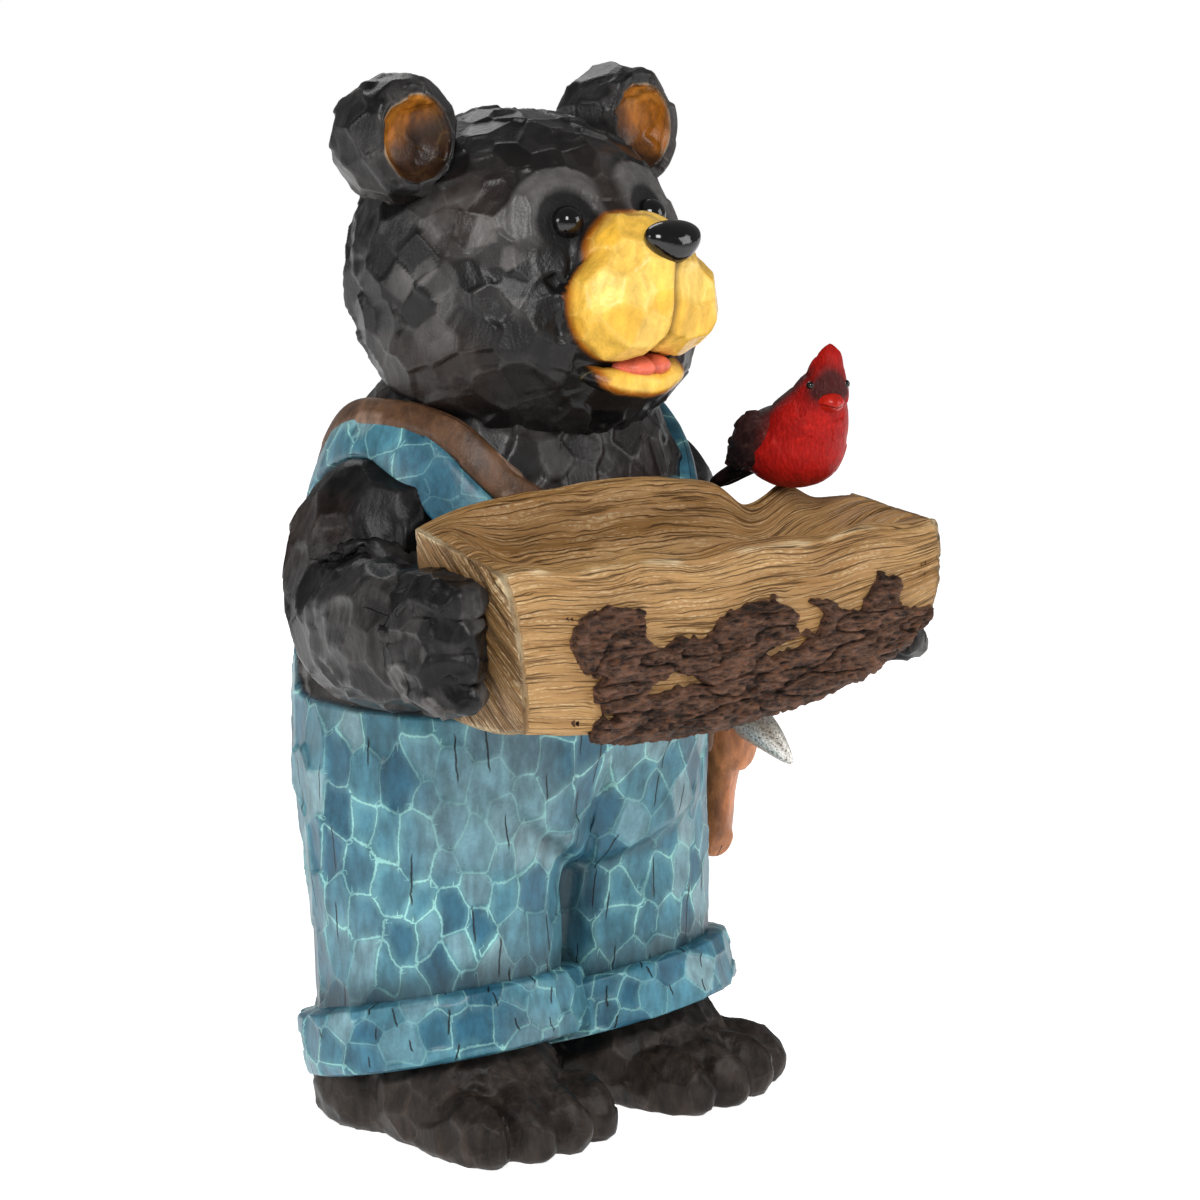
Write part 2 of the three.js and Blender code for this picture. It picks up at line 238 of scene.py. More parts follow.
class Cuts:
    """Gouge cuts: the height of the tangent plane of the nearest place, softly shared with its neighbours, so
    each place owns one flat facet. A place measures longer along a direction of its own, which bends its
    outline.

    lift is the height to move by, and ridge the distance to the facet's edge. edge holds that distance
    twice: with a sign that changes from one side of the ridge to the other, so the ridge is its zero line,
    and without one. bend moves the edges sideways by a slow noise of that height.
    """

    def __init__(self, skin, spacing, seed, stretch=(1, 1, 1), tilt=0.05, soft=0.1, bend=0.0):
        points, normal = skin.points, skin.normals()
        rng = np.random.default_rng(seed)
        place = points * stretch
        if bend:
            sway = [noise(points, 1.1 * spacing, seed + k) for k in (601, 602, 603)]
            place = place + bend * np.stack(sway, -1)
        chosen = spots(place, spacing, seed)
        self.count = len(chosen)
        aim = unit(normal[chosen] + rng.normal(0, tilt, (self.count, 3)))
        slim = unit(np.cross(aim, rng.normal(0, 1, (self.count, 3)))) * rng.uniform(0, 1.1, (self.count, 1))
        bias = rng.uniform(0, 0.6, self.count) * spacing**2
        seat, home = points[chosen], place[chosen]
        self.lift = np.empty(len(points))
        self.ridge = np.empty(len(points))
        self.near = np.empty((len(points), 4), int)
        self.weight = np.empty((len(points), 4))
        for part in np.array_split(np.arange(len(points)), len(points) // BATCH + 1):
            spread = (place[part] ** 2).sum(1)[:, None] - 2 * place[part] @ home.T + (home**2).sum(1)
            gap = spread + (place[part] @ slim.T - (home * slim).sum(1)) ** 2 + bias
            near = np.argpartition(gap, 3, 1)[:, :4]
            near = np.take_along_axis(near, np.take_along_axis(gap, near, 1).argsort(1), 1)
            gap = np.take_along_axis(gap, near, 1)
            facing = (normal[part][:, None] * aim[near]).sum(2)
            height = ((seat[near] - points[part][:, None]) * aim[near]).sum(2) / np.clip(facing, 0.6, 1)
            weight = np.exp((gap[:, :1] - gap) / (soft * spacing**2)) * (facing > 0.3) + 1e-9
            weight = weight / weight.sum(1, keepdims=True)
            apart = np.linalg.norm(home[near[:, 1]] - home[near[:, 0]], axis=1)
            self.lift[part] = (weight * np.clip(height, -DEEPEST_CUT, DEEPEST_CUT)).sum(1)
            self.ridge[part] = (gap[:, 1] - gap[:, 0]) / (2.4 * apart)
            self.near[part], self.weight[part] = near, weight
        sign = np.sign(self.near[:, 1] - self.near[:, 0])
        self.edge = np.stack([sign * self.ridge, self.ridge, 0 * self.ridge], -1)

    def tone(self, seed):
        """One random number from 0 to 1 for each facet, shared at the edges as the heights are."""
        number = np.random.default_rng(seed).uniform(0, 1, self.count)
        return (number[self.near] * self.weight).sum(1)


def gouge(skin, wide, fine, seed):
    """Two layers of gouge cuts: wide facets, smaller chips in patches, and each facet a little hollow."""
    cuts = Cuts(skin, wide, seed, tilt=0.1, bend=0.12 * wide)
    cuts.chips = Cuts(skin, fine, seed + 500, tilt=0.12)
    patch = ease(-0.1, 0.5, noise(skin.points, 1.8 * wide, seed + 501))
    hollow = 0.035 * wide * (1 - np.clip(cuts.ridge / (0.3 * wide), 0, 1)) ** 2
    cuts.lift = (1 - 0.5 * patch) * (cuts.lift + hollow) + 0.8 * patch * cuts.chips.lift
    return cuts


class Finish:
    """A material's nodes, built by calls that take numbers, colours or other sockets as inputs."""

    def __init__(self, name):
        self.material = bpy.data.materials.new(name)
        self.material.use_nodes = True
        self.tree = self.material.node_tree
        self.tree.nodes.clear()
        self.object = self.add("TexCoord", out="Object")

    def add(self, kind, inputs=None, out=0, **settings):
        """A new node with those inputs and settings; gives one of its outputs."""
        node = self.tree.nodes.new("ShaderNode" + kind)
        for key, value in settings.items():
            setattr(node, key, value)
        for key, value in (inputs or {}).items():
            if isinstance(value, bpy.types.NodeSocket):
                self.tree.links.new(value, node.inputs[key])
            else:
                node.inputs[key].default_value = value
        return node.outputs[out]

    def attribute(self, name, out="Color"):
        """An attribute of the mesh."""
        return self.add("Attribute", attribute_name=name, out=out)

    def math(self, operation, *values):
        """A Math node."""
        return self.add("Math", dict(enumerate(values)), operation=operation)

    def times(self, first, second):
        """The product of two values."""
        return self.math("MULTIPLY", first, second)

    def plus(self, first, second):
        """The sum of two values."""
        return self.math("ADD", first, second)

    def scaled(self, value, factor, offset):
        """A value times a factor, plus an offset."""
        return self.math("MULTIPLY_ADD", value, factor, offset)

    def split(self, vector):
        """The outputs X, Y and Z of a vector."""
        return self.add("SeparateXYZ", {0: vector}).node.outputs

    def step(self, value, low, high, start=0.0, end=1.0):
        """Smooth step of a value from start at low to end at high."""
        limits = {"Value": value, "From Min": low, "From Max": high, "To Min": start, "To Max": end}
        return self.add("MapRange", limits, interpolation_type="SMOOTHSTEP")

    def mix(self, amount, first, second, way="MIX"):
        """A colour between two colours."""
        return self.add("Mix", {0: amount, 6: first, 7: second}, out=2, data_type="RGBA", blend_type=way)

    def tint(self, colour, amount, low, high):
        """The colour made darker or lighter, from the low factor to the high one."""
        return self.mix(1.0, colour, self.mix(amount, (low, low, low, 1), (high, high, high, 1)), "MULTIPLY")

    def grain(self, scale, detail=4.0, stretch=None, place=None, rough=0.55):
        """Noise over Object coordinates, or another place, with scale in lumps for each unit of it."""
        place = place or self.object
        if stretch:
            place = self.add("Mapping", {"Vector": place, "Scale": stretch})
        return self.add("TexNoise", {"Vector": place, "Scale": scale, "Detail": detail, "Roughness": rough})

    def close(self, height, distance, **sockets):
        """Joins the sockets to the shader, with a bump of that height and distance."""
        relief = self.add("Bump", {"Height": height, "Distance": distance})
        names = {key.replace("_", " "): value for key, value in sockets.items()}
        shader = self.add("BsdfPrincipled", {"Normal": relief, **names})
        output = self.tree.nodes.new("ShaderNodeOutputMaterial")
        self.tree.links.new(shader, output.inputs["Surface"])
        return self.material


def slits(f, share, room):
    """Short dark checks along the surface map: a thin bar in a share of its cells, each as big as room."""
    surface = f.add("UVMap", uv_map="surface")
    cell = f.add("Mapping", {"Vector": surface, "Scale": (1 / room[0], 1 / room[1], 1)})
    cells = {"Vector": cell, "Scale": 1.0, "Randomness": 0.85}
    spot = f.add("TexVoronoi", cells, out="Position", voronoi_dimensions="2D")
    pick = f.add("SeparateColor", {0: spot.node.outputs["Color"]}).node.outputs
    away = f.split(f.add("VectorMath", {0: cell, 1: spot}, operation="SUBTRACT"))
    lean = f.times(away["Y"], f.scaled(pick["Green"], 0.4, -0.2))
    sway = f.scaled(f.grain(160, 2), 0.08, -0.04)
    beside = f.math("ABSOLUTE", f.plus(f.plus(away["X"], lean), sway))
    thin = f.step(beside, 0.006, 0.024, 1.0, 0.0)
    length = f.scaled(pick["Blue"], 0.22, 0.1)
    short = f.step(f.math("SUBTRACT", f.math("ABSOLUTE", away["Y"]), length), 0.0, 0.1, 1.0, 0.0)
    chosen = f.math("LESS_THAN", pick["Red"], share)
    return f.times(f.times(thin, short), chosen)


def carved_paint(name, checks=0.0, room=(0.03, 0.05), coat=0.0, shine=0.3, mottle=0.3):
    """Satin paint over gouge cuts. The paint attribute holds the colour and roughness, the ridge attribute
    the colour and strength of the dry-brushed lines, and edge the millimetres to the nearest ridge."""
    f = Finish(name)
    fine = f.grain(520, 5)
    broad = f.grain(60, 5, stretch=(1, 1, 0.6))
    stroke = f.grain(170, 4, stretch=(1, 1, 0.4))
    colour = f.tint(f.attribute("paint"), f.step(broad, 0.3, 0.7), 1 - mottle, 1 + mottle)
    colour = f.tint(colour, f.step(stroke, 0.3, 0.7), 1 - mottle, 1 + mottle)
    colour = f.tint(colour, fine, 0.8, 1.2)
    rim = f.split(f.attribute("edge", "Vector"))
    off_line = f.math("ABSOLUTE", f.plus(rim["X"], f.scaled(fine, 1.6, -0.8)))
    brushed = f.step(broad, 0.38, 0.6)
    core = f.times(f.step(off_line, 0.15, 0.75, 0.85, 0.0), f.step(rim["Y"], 1.6, 3.2, 1.0, 0.0))
    core = f.times(core, f.scaled(brushed, 0.65, 0.35))
    glow = f.times(f.step(rim["Y"], 0.0, 5.0, 0.2, 0.0), brushed)
    amount = f.times(f.math("MAXIMUM", core, glow), f.attribute("ridge", "Alpha"))
    colour = f.mix(amount, colour, f.attribute("ridge"))
    height = f.scaled(stroke, 0.45, f.times(fine, 0.2))
    if checks:
        check = slits(f, checks, room)
        colour = f.mix(f.times(check, 0.9), colour, (0.004, 0.004, 0.005, 1))
        height = f.math("SUBTRACT", height, check)
    rough = f.plus(f.attribute("paint", "Alpha"), f.scaled(broad, 0.24, -0.12))
    shader = {"Coat_Weight": coat, "Coat_Roughness": 0.2, "Specular_IOR_Level": shine}
    return f.close(height, 0.0011, Base_Color=colour, Roughness=rough, **shader)


def split_wood(name):
    """Painted split wood. The grain attribute counts millimetres along the grain, across it, and a layer;
    dark lines are noise drawn out along the grain, wavering sideways, and cream is brushed where ridge says."""
    f = Finish(name)
    run = f.split(f.attribute("grain", "Vector"))
    waver = f.grain(1.0, 3, (1 / 48, 1 / 14, 1), f.attribute("grain", "Vector"))
    across = f.plus(run["Y"], f.scaled(waver, 7.0, -3.5))
    place = f.add("CombineXYZ", {0: run["X"], 1: across, 2: run["Z"]})
    thin = f.grain(1.0, 3, (1 / 64, 1 / 0.9, 1), place)
    wide = f.grain(1.0, 5, (1 / 110, 1 / 3.4, 1), place, 0.65)
    speck = f.grain(1.0, 3, (1 / 4, 1 / 1.2, 1), place)
    colour = f.tint(f.attribute("paint"), wide, 0.45, 1.55)
    line = f.step(thin, 0.56, 0.66)
    seam = f.step(wide, 0.60, 0.70)
    colour = f.mix(f.times(line, 0.7), colour, (0.060, 0.026, 0.008, 1))
    colour = f.mix(f.times(seam, 0.5), colour, (0.050, 0.021, 0.007, 1))
    dry = f.times(f.step(thin, 0.48, 0.38), f.step(speck, 0.42, 0.6))
    colour = f.mix(f.times(dry, f.attribute("ridge", "Alpha")), colour, f.attribute("ridge"))
    hollow = f.plus(line, f.times(seam, 0.8))
    height = f.math("SUBTRACT", f.times(thin, 0.4), hollow)
    rough = f.plus(f.attribute("paint", "Alpha"), f.times(hollow, 0.15))
    return f.close(height, 0.0014, Base_Color=colour, Roughness=rough, Specular_IOR_Level=0.3)


def rough_bark(name):
    """Flaking bark: noise drawn out along the log, grey-brown on the scales and rust between them."""
    f = Finish(name)
    scale = f.grain(250, 8, (0.35, 1, 1.3), rough=0.75)
    fleck = f.grain(620, 5, (0.35, 1, 1.3), rough=0.7)
    colour = f.tint(f.attribute("paint"), f.step(scale, 0.32, 0.68), 0.25, 1.75)
    rust = f.times(f.step(fleck, 0.5, 0.6), f.step(scale, 0.42, 0.54))
    colour = f.mix(f.times(rust, 0.6), colour, (0.300, 0.105, 0.034, 1))
    gap = f.step(f.plus(scale, f.times(fleck, 0.35)), 0.62, 0.53)
    colour = f.mix(f.times(gap, 0.85), colour, (0.012, 0.006, 0.004, 1))
    height = f.plus(scale, f.times(fleck, 0.6))
    rough = f.step(fleck, 0.3, 0.7, 0.5, 0.8)
    return f.close(height, 0.008, Base_Color=colour, Roughness=rough, Specular_IOR_Level=0.25)


def plumage(name):
    """Painted feathers: short strokes of noise drawn out along the surface map, raised and dry-brushed."""
    f = Finish(name)
    barb = f.grain(1.0, 3, (620, 190, 1), f.add("UVMap", uv_map="surface"))
    fine = f.grain(600, 4)
    colour = f.tint(f.attribute("paint"), barb, 0.5, 1.5)
    colour = f.tint(colour, fine, 0.8, 1.2)
    brushed = f.times(f.step(barb, 0.56, 0.72), f.attribute("ridge", "Alpha"))
    colour = f.mix(brushed, colour, f.attribute("ridge"))
    rough = f.plus(f.attribute("paint", "Alpha"), f.times(fine, 0.1))
    return f.close(barb, 0.0012, Base_Color=colour, Roughness=rough, Specular_IOR_Level=0.1)


def hammered_steel(name):
    """Silvered paint: pitted by fine noise, dark in the pits, and bright where ridge marks the worn edge and
    the painted highlight along the bevel.
    """
    f = Finish(name)
    pit = f.grain(700, 4)
    cloud = f.grain(90, 4)
    colour = f.tint(f.attribute("paint"), cloud, 0.7, 1.3)
    colour = f.mix(f.times(f.step(pit, 0.46, 0.36), 0.7), colour, (0.06, 0.05, 0.04, 1))
    # worn holds both the worn cutting edge and the painted highlight along the bevel, as the ridge attribute
    # gives them.
    worn = f.times(f.attribute("ridge", "Alpha"), f.step(pit, 0.4, 0.55))
    colour = f.mix(worn, colour, f.attribute("ridge"))
    rough = f.plus(f.attribute("paint", "Alpha"), f.scaled(pit, 0.3, -0.15))
    return f.close(pit, 0.0006, Base_Color=colour, Roughness=rough, Metallic=0.65)


def gloss_bead(name):
    """Black lacquer with faint brush marks."""
    f = Finish(name)
    mark = f.grain(260, 3)
    rough = f.step(mark, 0.3, 0.8, 0.05, 0.16)
    colour = f.mix(mark, (0.002, 0.002, 0.002, 1), (0.006, 0.005, 0.005, 1))
    return f.close(mark, 0.0002, Base_Color=colour, Roughness=rough, Specular_IOR_Level=0.5)


def piece(name, skin, node, material, paint, rough=0.4, line=(0, 0, 0), strength=0.0, edge=None, grain=None):
    """Puts a skin into the scene as one piece of a CAD node, with its paint, ridge lines and surface map."""
    count = len(skin.points)
    mesh = bpy.data.meshes.new(name)
    mesh.vertices.add(count)
    mesh.vertices.foreach_set("co", (skin.points * MM + (0, AXIS_Y, 0)).ravel())
    corners = np.concatenate([skin.quads.ravel(), skin.fans.ravel()])
    sizes = np.concatenate([np.full(len(skin.quads), 4), np.full(len(skin.fans), 3)])
    mesh.loops.add(len(corners))
    mesh.loops.foreach_set("vertex_index", corners)
    mesh.polygons.add(len(sizes))
    mesh.polygons.foreach_set("loop_start", np.concatenate([[0], sizes.cumsum()[:-1]]))
    mesh.polygons.foreach_set("use_smooth", np.ones(len(sizes), bool))
    mesh.update(calc_edges=True)
    mesh.uv_layers.new(name="surface").data.foreach_set("uv", (skin.map * MM).ravel().astype(np.float32))
    for key, colour, last in (("paint", paint, rough), ("ridge", line, strength)):
        value = np.empty((count, 4), np.float32)
        value[:, :3] = colour
        value[:, 3] = last
        mesh.color_attributes.new(key, "FLOAT_COLOR", "POINT").data.foreach_set("color", value.ravel())
    far_off = np.full((count, 3), 9.0)
    for key, rows in (("edge", far_off if edge is None else edge), ("grain", grain)):
        if rows is not None:
            values = rows.ravel().astype(np.float32)
            mesh.attributes.new(key, "FLOAT_VECTOR", "POINT").data.foreach_set("vector", values)
    mesh.materials.append(material)
    made = bpy.data.objects.new(name, mesh)
    bpy.context.scene.collection.objects.link(made)
    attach(made, "root")
    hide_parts(node)


# Paints, as linear colours
FUR_DARK = (0.0030, 0.0028, 0.0031)
FUR_MID = (0.0095, 0.0088, 0.0090)
FUR_GREY = (0.105, 0.098, 0.095)
FUR_BROWN = (0.017, 0.009, 0.006)
FUR_LINE = (0.21, 0.185, 0.17)
FOOT_BROWN = (0.030, 0.021, 0.016)
FOOT_LINE = (0.12, 0.09, 0.07)
DENIM_DEEP = (0.017, 0.090, 0.145)
DENIM_MID = (0.052, 0.170, 0.225)
DENIM_PALE = (0.240, 0.345, 0.365)
DENIM_LINE = (0.330, 0.660, 0.610)
DENIM_SHADE = (0.014, 0.040, 0.055)
OCHRE = (0.720, 0.400, 0.040)
OCHRE_PALE = (0.900, 0.660, 0.200)
OCHRE_BURNT = (0.330, 0.090, 0.005)
MOUTH_DARK = (0.050, 0.020, 0.006)
EAR_ORANGE = (0.230, 0.070, 0.006)
EAR_LIT = (0.420, 0.175, 0.026)
EAR_SHADE = (0.016, 0.008, 0.006)
EAR_RIM = (0.380, 0.260, 0.160)
LEATHER = (0.085, 0.040, 0.019)
LEATHER_PALE = (0.330, 0.225, 0.165)
TONGUE = (0.700, 0.150, 0.090)
TONGUE_DEEP = (0.300, 0.040, 0.030)

carved_fur = carved_paint("carved_fur_paint", checks=0.3, room=(0.036, 0.06), shine=0.17, mottle=0.4)
carved_face = carved_paint("carved_face_paint", checks=0.12, room=(0.034, 0.05), shine=0.26, mottle=0.14)
carved_ear = carved_paint("carved_ear_paint", shine=0.24, mottle=0.4)
carved_denim = carved_paint("carved_denim_paint", checks=0.7, room=(0.024, 0.05), coat=0.1, mottle=0.22)
worn_leather = carved_paint("worn_leather_paint", checks=0.5, room=(0.022, 0.04))
black_bead = gloss_bead("glossy_black_bead")


def fur(skin, cuts, seed, worn=0.0):
    """Black paint with a brown wash in patches, rubbed grey on some facets where it is worn.
    Gives the colour and the strength of the pale ridge lines."""
    colour = blend(cuts.tone(seed), FUR_DARK, FUR_MID)
    colour = blend(0.6 * ease(0.0, 0.7, noise(skin.points, 45, seed + 1)), colour, FUR_BROWN)
    grey = worn * ease(0.35, 0.9, 0.5 * cuts.tone(seed + 2) + 0.5 * cuts.chips.tone(seed + 3))
    return blend(grey, colour, FUR_GREY), 0.02 + 0.5 * grey


def denim(skin, cuts, seed):
    """Blue paint that differs from facet to facet, and pale where it is rubbed.
    Gives the colour and the strength of the mint ridge lines, which fade out in patches."""
    tone = cuts.tone(seed)
    colour = blend(ease(0.0, 0.7, tone), DENIM_DEEP, DENIM_MID)
    colour = blend(0.6 * ease(0.74, 1.0, tone), colour, DENIM_PALE)
    colour = blend(0.3 * ease(0.05, 0.7, noise(skin.points, 62, seed + 1)), colour, DENIM_PALE)
    return colour, 0.3 + 0.7 * ease(-0.6, 0.1, noise(skin.points, 44, seed + 2))


# The trunk: each ring is the outline of two equal circles side by side, so low down it parts into two legs.
# A row gives the height, how far back the ring sits, the circles' spread and their radius.
TRUNK = [
    [62, 2, 58, 70], [90, 2, 58, 71], [150, 7, 53, 77], [200, 13, 36, 93], [250, 14, 18, 107],
    [310, 14, 13, 107], [370, 10, 15, 96], [410, 7, 13, 82], [438, 5, 6, 62],
]
TRUNK_LINE = curve(TRUNK, np.linspace(0, 1, 600))
# The cuffs, right and left: place along x, height of the middle, half height and height gained along x.
# Both are lower at the back, by a share of the way there.
CUFFS = {-1: (-57, 58, 23.5, 0.0), 1: (63, 56, 20.5, 0.115)}
CUFF_BACK = 0.268


def trunk_reach(turn, height):
    """Distance from the trunk's axis to its surface at an angle and height: a circle set off by the spread.
    Also gives how far back the axis sits there."""
    back, spread, radius = (np.interp(height, TRUNK_LINE[:, 0], TRUNK_LINE[:, k]) for k in (1, 2, 3))
    across = spread * np.sin(turn)
    return spread * np.abs(np.cos(turn)) + np.sqrt(radius**2 - across**2), back


def on_trunk(points, proud):
    """Moves points straight out or in until they stand the given distance proud of the trunk's surface."""
    back = np.interp(points[..., 2], TRUNK_LINE[:, 0], TRUNK_LINE[:, 1])
    turn = np.arctan2(points[..., 1] - back, points[..., 0])
    reach = trunk_reach(turn, points[..., 2])[0] + proud
    return np.stack([reach * np.cos(turn), reach * np.sin(turn) + back, points[..., 2]], -1)


def bib_top(points):
    """Height of the dungarees' upper edge: a bib in front, low under the arms, higher again at the back."""
    turn = np.arctan2(np.abs(points[:, 0]), -points[:, 1])
    return 254 + 124 * ease(1.0, 0.66, turn) + 58 * ease(1.95, 2.7, turn)


def make_trunk():
    """Rings of the two circles' outline, with fur cuts above the bib's edge and denim cuts below it. The
    belly hangs over a crease that bends up at the sides, and a groove parts the legs."""
    height = np.linspace(TRUNK[0][0], TRUNK[-1][0], 210)[:, None]
    turn = 2 * np.pi * np.arange(360)[None] / 360
    reach, back = trunk_reach(turn, height + 0 * turn)
    skin = Skin(np.stack([reach * np.cos(turn), reach * np.sin(turn) + back, height + 0 * turn], -1))
    x, y, z = skin.points.T
    hem = bib_top(skin.points) - z
    cloth = ease(-1.2, 1.2, hem)
    front = ease(-10, -50, y)
    over = z - 146 - np.where(x < 0, -0.76, 0.4) * x
    belly = front * ease(120, 40, np.abs(x)) * bump(over, 32)
    crease = front * ease(104, 30, np.abs(x)) * bump(over, 7)
    crotch = bump(x, 10) * ease(166, 144, z) * ease(20, 34, np.abs(y))
    coat = gouge(skin, 16, 10.5, 11)
    cuts = Cuts(skin, 12.5, 12, stretch=(1, 1, 0.66), bend=2.6)
    fur_colour, fur_line = fur(skin, coat, 13, 0.4)
    fur_colour = blend(0.8 * bump(hem, 9), fur_colour, FUR_BROWN)
    denim_colour, denim_line = denim(skin, cuts, 14)
    edges = [middle + half + slope * (x - aside) for aside, middle, half, slope in CUFFS.values()]
    low = z - np.where(x < 0, *edges) + CUFF_BACK * y
    shaded = np.maximum.reduce([0.85 * crotch, 0.55 * crease, 0.75 * ease(22, 2, low)])
    denim_colour = blend(shaded, denim_colour, DENIM_SHADE)
    colour = blend(cloth, fur_colour, denim_colour)
    edge = np.where(cloth[:, None] > 0.5, cuts.edge, coat.edge)
    line = blend(cloth, FUR_LINE, DENIM_LINE)
    strength = (1 - cloth) * fur_line + cloth * denim_line * (1 - shaded)
    folds = 5 * belly * np.tanh(over / 8) - 3 * crease - 5 * crotch
    raised = cuts.lift + 3.2 + 0.4 * bump(cuts.ridge, 2.0) + folds
    skin.swell((1 - cloth) * coat.lift + cloth * raised - 1.5)
    piece("bear_trunk", skin, "bear", carved_denim, colour, 0.42, line, strength, edge)


def make_cuff(hand):
    """A turned-up cuff: a short round drum with rounded edges, tilted so that it is lower at the back."""
    aside, middle, half, slope = CUFFS[hand]
    centre = np.array([aside, 0, middle])
    rise = half * unit(np.array([-slope, CUFF_BACK, 1.0]))
    sizes = [[83, 83, 2], [85, 85, 2], [84, 84, 2]]
    skin = loft([centre - rise, centre, centre + rise], sizes, dome=14, rings=56, around=240)
    face = ease(0.55, 0.85, np.linalg.norm(skin.normals()[:, :2], axis=1))
    cuts = Cuts(skin, 13, 21 + hand, bend=2.2)
    skin.swell(face * (np.clip(0.8 * cuts.lift, -1.5, 1.5) + 0.4 * bump(cuts.ridge, 2)) - 0.8)
    colour, strength = denim(skin, cuts, 24)
    # Painted shade: the cuff's rounded upper and lower edges, where it meets the trunk and the foot, are
    # painted darker, towards the deep denim blue.
    colour = blend(0.5 * (1 - face), colour, DENIM_DEEP)
    name = f"bear_cuff_{HANDS[hand]}"
    piece(name, skin, "bear", carved_denim, colour, 0.42, DENIM_LINE, strength, cuts.edge)


def band(path, half, thick, rings):
    """A flat strap on the trunk: its width runs across the path along the surface, and its section is a flat
    loop whose outer side stands proud by the thickness and whose inner side lies below the surface."""
    centre = on_trunk(curve(path, np.linspace(0, 1, rings)), 0)
    along = unit(np.gradient(centre, axis=0))
    skyward = np.interp(centre[:, 2], [385, 430], [0.0, 1.2])
    out = unit(unit(centre * (1, 1, 0)) + skyward[:, None] * (0, 0, 1))
    width = unit(np.cross(out, along))
    turn = 2 * np.pi * np.arange(44) / 44
    across = half * np.sign(np.cos(turn)) * np.abs(np.cos(turn)) ** 0.5
    proud = np.where(np.sin(turn) > 0, thick, 5) * np.sign(np.sin(turn)) * np.abs(np.sin(turn)) ** 0.35
    flat = on_trunk(centre[:, None] - across[:, None] * width[:, None], 0)
    return Skin(flat + proud[:, None] * out[:, None])


def make_straps():
    """The dungarees' two straps over the shoulders, and the leather belt, which crosses from the left hip to
    the right shoulder and comes back round behind."""
    for hand, side in HANDS.items():
        path = [[66, -92, 328], [92, -58, 373], [100, -14, 402], [97, 28, 405], [81, 69, 382], [56, 103, 318]]
        skin = band(np.array(path) * (hand, 1, 1), 16, 6.5, 130)
        cuts = Cuts(skin, 14, 31 + hand, bend=2.4)
        skin.swell(0.5 * np.clip(cuts.lift, -1, 1))
        colour, strength = denim(skin, cuts, 33)
        piece(f"bear_strap_{side}", skin, "bear", carved_denim, colour, 0.4, DENIM_LINE, strength, cuts.edge)
    path = [
        [128, -34, 236], [104, -80, 268], [48, -110, 312], [-24, -105, 350], [-70, -76, 384], [-84, -39, 411],
        [-86, 6, 417], [-76, 52, 407], [-44, 97, 360], [30, 113, 304], [106, 64, 256], [130, 14, 240],
        [128, -34, 236],
    ]
    skin = band(path, 9.5, 7.5, 300)
    cuts = Cuts(skin, 17, 35)
    skin.swell(0.6 * np.clip(cuts.lift, -1, 1))
    colour = blend(0.5 * ease(0.6, 0.95, cuts.tone(36)), LEATHER, LEATHER_PALE)
    piece("bear_belt", skin, "bear", worn_leather, colour, 0.45, LEATHER_PALE, 0.08, cuts.edge)


# The head: skull, jowls, two cheeks of the muzzle, the bridge of the nose and the muzzle's middle
EYE = np.array([31.5, -81, 532])
EYE_RADIUS = 9.4
HEAD = [
    ((0, 0, 496), (100, 97, 94)),
    ((0, -18, 467), (97, 90, 75)),
    ((-20, -107, 486), (28.5, 30, 31)),
    ((20, -107, 486), (28.5, 30, 31)),
    ((0, -98, 511), (32, 41, 26)),
    ((0, -110, 490), (20, 29, 30)),
]
LIP_PATH = [[35, -82, 455], [31, -95, 449], [22, -106, 444], [0, -113, 441]]
LIP_SIZES = [[3, 4, 2], [5, 7, 2], [7, 9, 2], [8, 9, 2]]


def make_head():
    """The soft union of the head's ellipsoids, with a hollow round each eye under a raised brow, a cleft
    between the cheeks, and yellow where the muzzle's ellipsoids lead."""
    skin, share = union((0, -36, 488), HEAD, 0.25, 240, 330)
    mirrored = skin.points * np.where(skin.points[:, :1] < 0, (-1, 1, 1), 1)
    x, y, z = mirrored.T
    lobes = share[2:].sum(0)
    yellow = ease(0.36, 0.6, lobes)
    away = np.linalg.norm(mirrored - EYE, axis=1)
    coat = gouge(skin, 13.5, 9, 41)
    cuts = Cuts(skin, 13, 43, soft=0.2, bend=1.5)
    brow = ease(17, 23, away) * ease(36, 32, away) * ease(-18, 0, z - 532) * ease(4, 14, x)
    cleft = bump(x, 2.0) * ease(0.5, 0.9, lobes) * ease(520, 510, z)
    fold = ease(0.03, 0.2, lobes) * ease(0.8, 0.55, lobes)
    calm = ease(14, 34, away) * (1 - 0.85 * fold) * (1 - 0.5 * cleft)
    lift = calm * ((1 - yellow) * coat.lift + yellow * 0.9 * cuts.lift)
    skin.swell(lift - 0.8 - 2.5 * bump(away, 13) + 2.0 * brow - 4 * cleft)
    cheek = ease(60, 24, np.linalg.norm(mirrored - (88, -48, 506), axis=1))
    colour, strength = fur(skin, coat, 45, np.maximum(cheek, 0.12))
    colour = blend(0.9 * bump(away, 17), colour, FUR_DARK)
    colour = blend(0.7 * brow, colour, FUR_GREY)
    ochre = blend(0.6 * cuts.tone(46), OCHRE, OCHRE_PALE)
    burnt = np.maximum(ease(0.92, 0.5, lobes), 0.9 * ease(-106, -84, y))
    ochre = blend(burnt, ochre, OCHRE_BURNT)
    ochre = blend(0.8 * cleft, ochre, MOUTH_DARK)
    colour = blend(yellow, colour, ochre)
    line = blend(yellow, FUR_LINE, OCHRE_PALE)
    strength = (1 - yellow) * strength * ease(20, 36, away) + yellow * 0.35 * (1 - cleft)
    edge = np.where(yellow[:, None] > 0.5, cuts.edge, coat.edge)
    piece("bear_head", skin, "bear", carved_face, colour, 0.36 - 0.1 * yellow, line, strength, edge)


